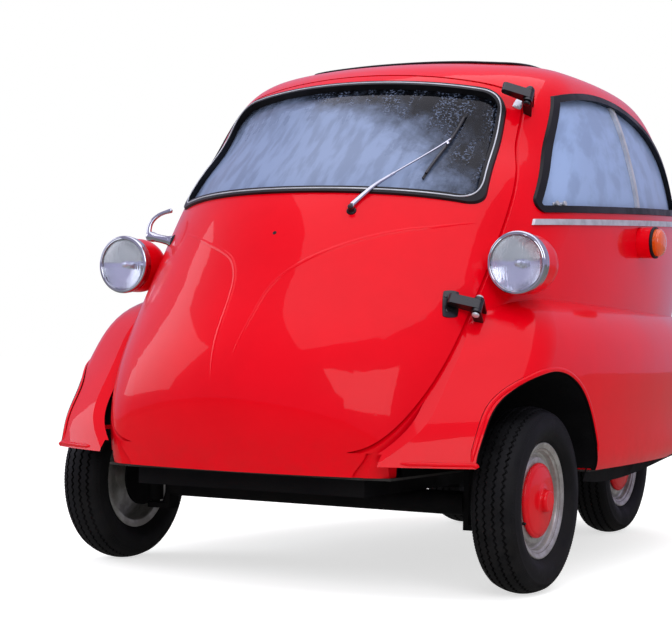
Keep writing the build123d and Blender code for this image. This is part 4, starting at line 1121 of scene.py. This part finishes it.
high_leaf = leaf_plate(
    "high_hinge_leaf", [(428, 262, 1238), (446, 276, 1228), (453, 308, 1256), (436, 296, 1276)],
    satin_aluminium
)
low_leaf = leaf_plate(
    "low_hinge_leaf", [(440, -170, 668), (478, -145, 674), (470, -118, 742), (430, -142, 738)], hinge_black
)
print("leaf centres:", high_leaf.mean(axis=0).round(3), low_leaf.mean(axis=0).round(3))

# %% Screws by Geometry Nodes
def scatter_tree(name, steps=14):
    """Nodes that put one domed screw on each point of a mesh, turned to the point's normal, with a named size."""
    tree = bpy.data.node_groups.new(name, "GeometryNodeTree")
    for label, kind in (
        ("Geometry", "NodeSocketGeometry"), ("Screw Size", "NodeSocketFloat"),
        ("Finish", "NodeSocketMaterial")
    ):
        tree.interface.new_socket(label, in_out="INPUT", socket_type=kind)
    tree.interface.new_socket("Geometry", in_out="OUTPUT", socket_type="NodeSocketGeometry")
    inputs, outputs = tree.nodes.new("NodeGroupInput"), tree.nodes.new("NodeGroupOutput")
    head = tree.nodes.new("GeometryNodeMeshUVSphere")
    head.inputs["Segments"].default_value, head.inputs["Rings"].default_value = steps, 7
    head.inputs["Radius"].default_value = 1.0
    flat = tree.nodes.new("GeometryNodeTransform")
    flat.inputs["Scale"].default_value = (1, 1, 0.42)
    tree.links.new(head.outputs["Mesh"], flat.inputs["Geometry"])
    normal = tree.nodes.new("GeometryNodeInputNormal")
    turn = tree.nodes.new("FunctionNodeAlignRotationToVector")
    turn.axis = "Z"
    tree.links.new(normal.outputs["Normal"], turn.inputs["Vector"])
    spread = tree.nodes.new("GeometryNodeInstanceOnPoints")
    tree.links.new(inputs.outputs["Geometry"], spread.inputs["Points"])
    tree.links.new(flat.outputs["Geometry"], spread.inputs["Instance"])
    tree.links.new(turn.outputs["Rotation"], spread.inputs["Rotation"])
    tree.links.new(inputs.outputs["Screw Size"], spread.inputs["Scale"])
    real = tree.nodes.new("GeometryNodeRealizeInstances")
    tree.links.new(spread.outputs["Instances"], real.inputs["Geometry"])
    painted = tree.nodes.new("GeometryNodeSetMaterial")
    tree.links.new(real.outputs["Geometry"], painted.inputs["Geometry"])
    tree.links.new(inputs.outputs["Finish"], painted.inputs["Material"])
    tree.links.new(painted.outputs["Geometry"], outputs.inputs["Geometry"])
    return tree


screw_tree = scatter_tree("screw_heads")


def screws(name, spots, normals, size, material, body):
    """Tiny facing triangles carry the normals; the node tree puts a screw on the first corner of each."""
    verts, faces, keep = [], [], []
    for spot, normal in zip(spots, normals):
        side = Vector(normal).orthogonal().normalized() * 0.00001
        up = Vector(normal).cross(side)
        verts += [
            Vector(spot) - side - up, Vector(spot) + side - up, Vector(spot) + side + up,
            Vector(spot) - side + up
        ]
        faces.append(tuple(len(verts) - 4 + k for k in range(4)))
    mesh = bpy.data.meshes.new(name + "_points")
    mesh.from_pydata([tuple(v) for v in verts], [], faces)
    carrier = bpy.data.objects.new(name + "_points", mesh)
    bpy.context.collection.objects.link(carrier)
    points = carrier.modifiers.new("screws", "NODES")
    points.node_group = screw_tree
    sockets = {s.name: s.identifier for s in screw_tree.interface.items_tree if s.in_out == "INPUT"}
    points[sockets["Screw Size"]] = size
    points[sockets["Finish"]] = material
    depsgraph = bpy.context.evaluated_depsgraph_get()
    result = bpy.data.meshes.new_from_object(carrier.evaluated_get(depsgraph))
    bpy.data.objects.remove(carrier)
    work = bmesh.new()
    work.from_mesh(result)
    bmesh.ops.remove_doubles(work, verts=work.verts, dist=0.00004)
    for face in work.faces:
        face.smooth = True
    work.to_mesh(result)
    work.free()
    result.name = name
    made = bpy.data.objects.new(name, result)
    bpy.context.collection.objects.link(made)
    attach(made, body)
    return made


high_spots, high_normals = settle("front_door", [place(437, 272, 1238), place(443, 298, 1262)], 0.0034)
low_spots, low_normals = settle("front_door", [place(446, -154, 684), place(440, -146, 722)], 0.0034)
made = screws("high_leaf_screws", high_spots, high_normals, 0.0045, satin_aluminium, "door")
screws("low_leaf_screws", low_spots, low_normals, 0.0045, hinge_black, "door")
print("screw faces:", len(made.data.polygons))

# %% [markdown]
# ## Side signals and tail lamps
# The signals have a black gasket between pod and lens, and the lens is an orange dome with fine rings
# pressed in. Rings on a dome are a lathe profile with small steps.

# %% Signal lenses and gaskets
SIGNAL = [(0.0, 0.0), (0.0400, 0.0), (0.0402, 0.0035), (0.0394, 0.0042), (0.0392, 0.0120)]
for k in range(1, 15):
    angle = math.pi / 2 * k / 15
    swell = 0.0005 if k % 2 else -0.0003
    radius = 0.0392 * math.cos(angle) ** 0.8 + swell * math.cos(angle)
    SIGNAL.append((radius, 0.0120 + 0.0178 * math.sin(angle) + swell * math.sin(angle)))
SIGNAL.append((0.0, 0.0299))
GASKET = [
    (0.0360, -0.0030), (0.0440, -0.0030), (0.0452, -0.0010), (0.0452, 0.0030), (0.0436, 0.0052),
    (0.0404, 0.0056), (0.0398, 0.0020), (0.0360, 0.0010)
]
for side, hand in ((1, "left"), (-1, "right")):
    middle = place(side * 640, 803, 905)
    dome = add_piece(f"{hand}_signal_dome", *lathe(SIGNAL, middle, (side, 0, 0), 72), orange_lens, "root", 30)
    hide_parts("signal_lenses")
    gasket = add_piece(
        f"{hand}_signal_gasket", *lathe(GASKET, middle, (side, 0, 0), 72), black_rubber, "root", 40
    )
    tail = place(side * 380, 1786, 600)
    collar = [
        (0.0338, -0.0700), (0.0352, -0.0700), (0.0374, -0.0640), (0.0374, -0.0080), (0.0362, -0.0050),
        (0.0339, -0.0050)
    ]
    made = add_piece(f"{hand}_tail_collar", *lathe(collar, tail, (0, 1, 0), 64), bright_chrome, "root", 35)
print("signals and tail collars made")

# %% [markdown]
# ## Pressed lines on the door
# Two creases run up the door like the edges of a tulip. In steel a crease is a shallow step: it rises a
# couple of millimetres, has a soft crown and fades out at both ends. So each is a thin strip swept along
# points on the door's skin, with a section that is nearly flat at the ends.

# %% Creases, lips and beads
def skin_strip(name, node_name, points, height, width, material, body, count=90, fade=0.12, sharp=0.35):
    """Low rounded ridge on a node's skin along points that lie near it, fading at its ends."""
    rough = smooth_line([tuple(p) for p in points], count)
    spots, normals = settle(node_name, rough)
    for _ in range(3):
        spots[1:-1] = (spots[:-2] + 2 * spots[1:-1] + spots[2:]) / 4
    spots, normals = settle(node_name, spots)
    sections = []
    for k in range(len(spots)):
        t = k / (len(spots) - 1)
        ends = min(1.0, t / fade, (1 - t) / fade) if fade else 1.0
        rise = height * (0.06 + 0.94 * math.sin(ends * math.pi / 2))
        wide = width * (0.5 + 0.5 * ends)
        crown = [(wide * sharp, rise * 0.75), (0.0, rise), (-wide * sharp, rise * 0.75)]
        sections.append([(-wide, -0.0012), (wide, -0.0012), (wide, -0.0001)] + crown + [(-wide, -0.0001)])
    made = add_piece(name, *sweep(spots, normals, sections), material, body, 70)
    return made


RIGHT_CREASE = [
    (450, 4, 911), (380, -80, 898), (306, -134, 882), (206, -208, 852), (103, -273, 802), (48, -322, 744),
    (28, -378, 657), (10, -425, 560)
]
LEFT_CREASE = [
    (-330, -110, 880), (-230, -192, 859), (-135, -245, 828), (-97, -270, 808), (-70, -302, 769),
    (-56, -348, 706), (-48, -415, 595), (-34, -447, 499)
]
for name, points in (("left_side_crease", RIGHT_CREASE), ("right_side_crease", LEFT_CREASE)):
    skin_strip(
        name, "front_door", [place(*p) for p in points], 0.0016, 0.006, red_paint, "door", 120,
        0.25
    )

for side, hand in ((1, "left"), (-1, "right")):
    angles = np.radians(np.linspace(168, 12, 70))
    points = [
        place(side * 700, ARCH_Y - (ARCH_R + 7) * math.cos(math.pi - a), ARCH_Z + (ARCH_R + 7) * math.sin(a))
        for a in angles
    ]
    hits, _ = drop("lower_body", points, (-side, 0, 0), 0.12)
    made = skin_strip(
        f"{hand}_arch_lip", "lower_body", hits[2:-2], 0.0042, 0.0065, wing_paint, "root", 110,
        0.03, sharp=0.6
    )
print("creases and arch lips made; last has", len(made.data.polygons), "faces")

# %% [markdown]
# ## Small fittings on the skin
# The wing's lower edge is rolled over a wire, which shows as a round bead. The sliding side windows have two
# small knobs on each side, and a black plug closes the bare badge place on the door. Rays find the wing's edge,
# and each knob and the plug take the nearest point of the surface that carries them.

# %% Wing beads, knobs and plug
for side, hand in ((1, "left"), (-1, "right")):
    turn = np.radians(np.linspace(-98, -14, 60))
    centre = place(side * 470, -190, 329)
    hits = []
    for a in turn:
        out_dir = Vector((side * math.cos(a), math.sin(a), 0))
        spot, _ = drop("lower_body", [centre + out_dir * 0.02], tuple(-out_dir), 0.45)
        hits.append(spot[0])
    skin_strip(
        f"{hand}_wing_bead", "lower_body", hits, 0.0050, 0.0055, red_paint, "root", 90, 0.03,
        sharp=0.6
    )

knob_profile = [
    (0.0, -0.002), (0.0062, -0.002), (0.0062, 0.0018), (0.0040, 0.0030), (0.0038, 0.0075), (0.0068, 0.0090),
    (0.0072, 0.0125), (0.0060, 0.0148), (0.0, 0.0152)
]
for side, hand in ((1, "left"), (-1, "right")):
    for which, (x, y, z) in enumerate(((554, 253, 973), (562, 283, 975))):
        spots, normals = settle("side_glass", [place(side * x, y, z)])
        made = add_piece(
            f"{hand}_window_knob_{which + 1}", *lathe(knob_profile, Vector(spots[0]), normals[0], 28),
            satin_aluminium, "root", 40
        )
plug_profile = [
    (0.0, -0.003), (0.0050, -0.003), (0.0052, 0.0003), (0.0044, 0.0010), (0.0020, 0.0006), (0.0, 0.0002)
]
spots, normals = settle("front_door", [place(2, -227, 877)])
made = add_piece(
    "badge_plug", *lathe(plug_profile, Vector(spots[0]), normals[0], 28), black_rubber, "door", 40
)
print("fittings placed")

# %% [markdown]
# ## Folding roof
# The roof is one sheet of coated canvas, pulled tight over cross bows. Its surface is taken from the frame's
# roof by rays from above. Between the bows it hangs a little, over them it rises, and near the edges small
# pulls run out to the fixings. A piped edge holds it down on the skin.

# %% Canvas sheet and its piping
ROOF_X, ROOF_Y = (-0.3265, 0.3265), (AXLE_Y + 0.4735, AXLE_Y + 1.2065)
ROOF_CORNER = 0.0785


def into_roof(u, v):
    """Square to rounded rectangle, so that the net's edge follows the cut."""
    x = (ROOF_X[0] + ROOF_X[1]) / 2 + u * (ROOF_X[1] - ROOF_X[0]) / 2
    y = (ROOF_Y[0] + ROOF_Y[1]) / 2 + v * (ROOF_Y[1] - ROOF_Y[0]) / 2
    near_x, near_y = ROOF_X[1] - ROOF_CORNER, (ROOF_Y[1] - ROOF_Y[0]) / 2 - ROOF_CORNER
    mid_y = (ROOF_Y[0] + ROOF_Y[1]) / 2
    dx, dy = abs(x) - near_x, abs(y - mid_y) - near_y
    if dx > 0 and dy > 0:
        far = max(dx, dy) / math.hypot(dx, dy)
        x = math.copysign(near_x + dx * far, x)
        y = mid_y + math.copysign(near_y + dy * far, y - mid_y)
    return x, y


def roof_height(x, y):
    tree, _ = surface("fabric_roof")
    spot, *_ = tree.ray_cast(Vector((x, y, 2.0)), Vector((0, 0, -1)), 1.5)
    return spot.z if spot else None


cells_x, cells_y = 84, 94
tops = []
for j in range(cells_y + 1):
    for i in range(cells_x + 1):
        u, v = 2 * i / cells_x - 1, 2 * j / cells_y - 1
        x, y = into_roof(u, v)
        z = roof_height(x, y)
        while z is None:
            x, y = x * 0.998, (y - (ROOF_Y[0] + ROOF_Y[1]) / 2) * 0.998 + (ROOF_Y[0] + ROOF_Y[1]) / 2
            z = roof_height(x, y)
        inner = min(1.0, (1 - max(abs(u), abs(v))) / 0.16)
        bow = 0.5 - 0.5 * math.cos(2 * math.pi * (v + 1) * 2)
        pulls = math.sin(46 * v + 3 * math.sin(5 * u)) * max(0.0, abs(u) - 0.55) * (1 - abs(u)) * 0.008
        ripple = math.sin(21 * u + 2.2 * math.sin(4 * v)) * max(0.0, abs(v) - 0.6) * (1 - abs(v)) * 0.010
        sag = 0.0004 + 0.0030 * inner * bow + pulls + ripple
        tops.append((x, y, z - max(0.0002, sag)))
verts = [Vector(p) for p in tops] + [Vector((x, y, z - 0.0022)) for x, y, z in tops]
faces, edge = slab_faces(cells_x, cells_y)
canvas = add_piece("roof_sheet", verts, faces, roof_canvas, "root", 60)
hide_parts("fabric_roof")
piping_line = smooth_line([tops[k] for k in edge[::3]], 300, closed=True)
piping_spots = np.array([(x, y, z - 0.0018) for x, y, z in piping_line])
piping = add_piece(
    "roof_piping",
    *sweep(
        piping_spots, [Vector((0, 0, 1))] * len(piping_spots),
        [(s, h - 0.001) for s, h in round_section(0.0034, 10)], closed=True
    ),
    black_rubber, "root", 60
)

# %% [markdown]
# ## Bench
# The bench is foam in woven cloth. Blown up a little by cloth pressure from a smaller block, it gets the
# crown and the pulled-in corners of real upholstery. The sewn channels are pressed in afterwards, because a
# remesh would lose them, and cord piping closes the front edge.

# %% Cushion by cloth simulation
def block_mesh(outline, x_half, bevel):
    """Block from a side outline (y, z), rounded along all its edges."""
    work = bmesh.new()
    loops = [[work.verts.new((x, y, z)) for y, z in outline] for x in (-x_half, x_half)]
    work.faces.new(loops[0][::-1])
    work.faces.new(loops[1])
    for k in range(len(outline)):
        n = (k + 1) % len(outline)
        work.faces.new((loops[0][k], loops[0][n], loops[1][n], loops[1][k]))
    bmesh.ops.recalc_face_normals(work, faces=work.faces)
    bmesh.ops.bevel(work, geom=list(work.edges), offset=bevel, segments=4, profile=0.5, affect="EDGES")
    mesh = bpy.data.meshes.new("block")
    work.to_mesh(mesh)
    work.free()
    return mesh


def evaluated_mesh(obj):
    return bpy.data.meshes.new_from_object(obj.evaluated_get(bpy.context.evaluated_depsgraph_get()))


def cushion(name, replaced, outline, x_half, cap, low, high, top_axis, channels=10):
    """Padded bench piece: remesh, pressure, capped swelling, sewn channels, one subdivision."""
    obj = bpy.data.objects.new(name, block_mesh(outline, x_half, 0.022))
    bpy.context.collection.objects.link(obj)
    remesh = obj.modifiers.new("net", "REMESH")
    remesh.mode, remesh.voxel_size = "VOXEL", 0.008
    net = evaluated_mesh(obj)
    obj.modifiers.clear()
    obj.data = net
    start = np.array([v.co[:] for v in net.vertices])
    cloth_mod = obj.modifiers.new("cloth", "CLOTH")
    cloth_mod.settings.use_pressure = True
    cloth_mod.settings.uniform_pressure_force = 4.0
    cloth_mod.settings.quality = 5
    cloth_mod.settings.effector_weights.gravity = 0.0
    cloth_mod.point_cache.frame_start, cloth_mod.point_cache.frame_end = 1, 20
    for frame_number in range(1, 21):
        bpy.context.scene.frame_set(frame_number)
    blown = evaluated_mesh(obj)
    ended = np.array([v.co[:] for v in blown.vertices])
    obj.modifiers.clear()
    bpy.context.scene.frame_set(1)
    moved = ended - start
    far = np.linalg.norm(moved, axis=1, keepdims=True)
    spots = start + moved * np.minimum(1, cap / np.maximum(far, 1e-9))
    top_axis = np.array(top_axis, float)
    top_axis /= np.linalg.norm(top_axis)
    net.vertices.foreach_set("co", spots.ravel())
    net.update()
    facing = np.array([v.normal.dot(Vector(top_axis)) for v in net.vertices])
    pitch = 2 * x_half / channels
    offset = (spots[:, 0] + x_half) % pitch
    near = np.minimum(offset, pitch - offset)
    inside = np.abs(spots[:, 0]) < x_half - pitch * 0.6
    depth = 0.007 * np.exp(-((near / 0.011) ** 2)) * np.clip((facing - 0.3) / 0.5, 0, 1) * inside
    spots = spots - depth[:, None] * top_axis
    spots = np.minimum(np.maximum(spots, low), high)
    net.vertices.foreach_set("co", spots.ravel())
    net.update()
    smooth = obj.modifiers.new("smooth", "SUBSURF")
    smooth.levels = smooth.render_levels = 1
    done = evaluated_mesh(obj)
    obj.modifiers.clear()
    obj.data = done
    done.name = name
    done.materials.clear()
    done.materials.append(seat_cloth)
    for face in done.polygons:
        face.use_smooth = True
    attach(obj, "root")
    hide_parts(replaced)
    moved_most = float(np.linalg.norm(spots - start, axis=1).max())
    print(name, "quads", len(done.polygons), "moved at most", round(moved_most * 1000, 1), "mm")
    return obj


def side_outline(points):
    return [(place(0, y, z)[1], place(0, y, z)[2]) for y, z in points]


cushion(
    "bench_cushion", "seat_cushion", side_outline([(508, 441.5), (922, 441.5), (922, 545), (508, 549)]),
    0.430, 0.012,
    tuple(place(-440, 500, 440.4)), tuple(place(440, 930, 562)), (0, 0, 1),
)
cushion(
    "bench_back", "seat_back",
    side_outline([(860, 566), (968, 566), (970, 660), (1028, 892), (946, 903), (866, 640)]), 0.430, 0.010,
    tuple(place(-440, 845, 560.9)), tuple(place(440, 1038, 918)), (0, -0.97, 0.2),
)
rim_points = [
    tuple(place(x, y, 528)) for x,
    y in (
        (-425, 925), (-434, 760), (-434, 560), (-424, 516), (-380, 505), (0, 502), (380, 505), (424, 516),
        (434, 560), (434, 760), (425, 925)
    )
]
cord_line = smooth_line(rim_points, 200)
cord = add_piece(
    "bench_piping", *sweep(cord_line, [Vector((0, 0, 1))] * len(cord_line), round_section(0.0042, 10)),
    black_rubber, "root", 60
)

# %% [markdown]
# ## Controls in front of the driver
# The wheel has a domed horn button, and one round instrument sits on the dash. The dial is plain: a pale
# face, a ring of ticks by Geometry Nodes and a pointer.

# %% Horn button and instrument
wheel_axis = Vector((0, 1, 1)).normalized()
button = [
    (0.0, 0.0), (0.0240, 0.0), (0.0255, 0.0030), (0.0250, 0.0060), (0.0215, 0.0090), (0.0205, 0.0105),
    (0.0140, 0.0130), (0.0, 0.0142)
]
hub_tip = place(240, 150, 890) + wheel_axis * 0.019
made = add_piece(
    "horn_button", *lathe(button, hub_tip, wheel_axis, 48), hinge_black, "steering_wheel_body", 40
)
dial_spot = place(240, -28, 858)
dial_axis = Vector((0, 0.85, 0.53)).normalized()
pod = [
    (0.0, -0.0420), (0.0300, -0.0400), (0.0440, -0.0260), (0.0480, -0.0060), (0.0485, 0.0060),
    (0.0470, 0.0085), (0.0440, 0.0080), (0.0420, 0.0040), (0.0, 0.0040)
]
made = add_piece("instrument_pod", *lathe(pod, dial_spot, dial_axis, 64), under_black, "door", 35)
face_disc = [(0.0, 0.0040), (0.0415, 0.0040), (0.0415, 0.0049), (0.0, 0.0049)]
made = add_piece("instrument_face", *lathe(face_disc, dial_spot, dial_axis, 64), cream_plastic, "door", 35)
bezel = [
    (0.0405, 0.0060), (0.0405, 0.0095), (0.0425, 0.0108), (0.0470, 0.0102), (0.0484, 0.0080), (0.0484, 0.0058)
]
made = add_piece("instrument_bezel", *lathe(bezel, dial_spot, dial_axis, 64), bright_chrome, "door", 35)
dial_side = dial_axis.orthogonal().normalized()
dial_up = dial_axis.cross(dial_side)
tick_angles = [math.radians(-130 + 26 * k) for k in range(11)]
tick_spots = [
    dial_spot + dial_axis * 0.0050 + (dial_side * math.sin(a) + dial_up * math.cos(a)) * 0.035
    for a in tick_angles
]
screws(
    "instrument_ticks", tick_spots, [dial_axis] * len(tick_spots), 0.0017, hinge_black, "door"
)
needle_line = [np.array(dial_spot + dial_axis * 0.0062 + dial_up * h) for h in (-0.008, 0.0, 0.016, 0.030)]
needle_shape = [
    [(-w, -0.0006), (w, -0.0006), (w, 0.0006), (-w, 0.0006)] for w in (0.0018, 0.0022, 0.0012, 0.0005)
]
made = add_piece("instrument_needle", *sweep(needle_line, [dial_axis] * 4, needle_shape), red_lens, "door")
print("controls made")

# %% [markdown]
# ## Wheel arch liners and sill shade plates
# A black liner closes each hollow front wing around the tyre, and its black is painted shade for the dark
# wheel tunnel. Its outer edge follows the wing's own mouth, found by rays from the side. Under each door sill
# a black plate runs from the arch to the rear: a dark sheet that paints the shade under the body's side.

# %% Liners and sill shade plates
def shell_strip(name, inner, outer, material, thick):
    """Curved sheet between two lines of points, with a thickness given as offsets of each point."""
    verts = [Vector(p) for p in inner] + [Vector(p) for p in outer]
    verts += [
        Vector(p) + Vector(t) for p, t in zip(inner, thick)
    ] + [Vector(p) + Vector(t) for p, t in zip(outer, thick)]
    n = len(inner)
    faces = []
    for k in range(n - 1):
        faces += [(k, k + 1, n + k + 1, n + k), (2 * n + k, 3 * n + k, 3 * n + k + 1, 2 * n + k + 1)]
        faces += [(k, 2 * n + k, 2 * n + k + 1, k + 1), (n + k, n + k + 1, 3 * n + k + 1, 3 * n + k)]
    faces += [(0, n, 3 * n, 2 * n), (n - 1, 3 * n - 1, 4 * n - 1, 2 * n - 1)]
    made = add_piece(name, verts, faces, material, "root", 40)
    return made


wing_tree = surface("lower_body")[0]
for side, hand in ((1, "left"), (-1, "right")):
    inner, outer, thick = [], [], []
    for degrees in np.linspace(8.5, 163, 80):
        a = math.radians(degrees)
        rim = place(0, ARCH_Y + LINER_R * math.cos(a), ARCH_Z + LINER_R * math.sin(a))
        probe = place(0, ARCH_Y + (ARCH_R + 5) * math.cos(a), ARCH_Z + (ARCH_R + 5) * math.sin(a))
        spot, *_ = wing_tree.ray_cast(Vector((side * 0.95, probe.y, probe.z)), Vector((-side, 0, 0)), 0.6)
        reach = (abs(spot.x) if spot else 0.62) - 0.006
        inner.append((side * 0.398, rim.y, rim.z))
        outer.append((side * max(0.45, reach), rim.y, rim.z))
        thick.append((0, 0.0022 * math.cos(a), 0.0022 * math.sin(a)))
    smoothed = np.array([p[0] for p in outer])
    smoothed[1:-1] = side * np.minimum(
        np.abs(smoothed[1:-1]), (np.abs(smoothed[:-2]) + np.abs(smoothed[2:])) / 2 + 0.004
    )
    outer = [(x, p[1], p[2]) for x, p in zip(smoothed, outer)]
    # the liner's black is painted shade for the wheel tunnel
    shell_strip(f"{hand}_arch_liner", inner, outer, under_black, thick)
    # the sill plate is painted shade: a black sheet under the body's side, where shade falls
    top, low = [], []
    for y in np.linspace(280, 1090, 55):
        spot_y = place(0, y, 0).y
        found = None
        for x in np.arange(0.66, 0.50, -0.0015):
            spot, *_ = wing_tree.ray_cast(Vector((side * x, spot_y, 0.02)), Vector((0, 0, 1)), 0.5)
            if spot and spot.z < 0.34:
                found = spot
                break
        if found:
            top.append((found.x, spot_y, found.z))
    edge_line = np.array(top)
    fair_x, fair_z = (
        np.polyval(np.polyfit(edge_line[:, 1], edge_line[:, k], 3), edge_line[:, 1]) for k in (0, 2)
    )
    top = [(x - side * 0.012, y, z + 0.002) for x, y, z in zip(fair_x, edge_line[:, 1], fair_z)]
    low = [(x - side * 0.022, y, z - 0.036) for x, y, z in zip(fair_x, edge_line[:, 1], fair_z)]
    shell_strip(
        f"{hand}_sill_shade_plate", top, low, under_black, [(-side * 0.003, 0, 0)] * len(top)
    )
    print(
        hand, "sill", len(top), "furthest from fair",
        round(float(np.abs(edge_line[:, 2] - fair_z).max()) * 1000, 1), "mm"
    )
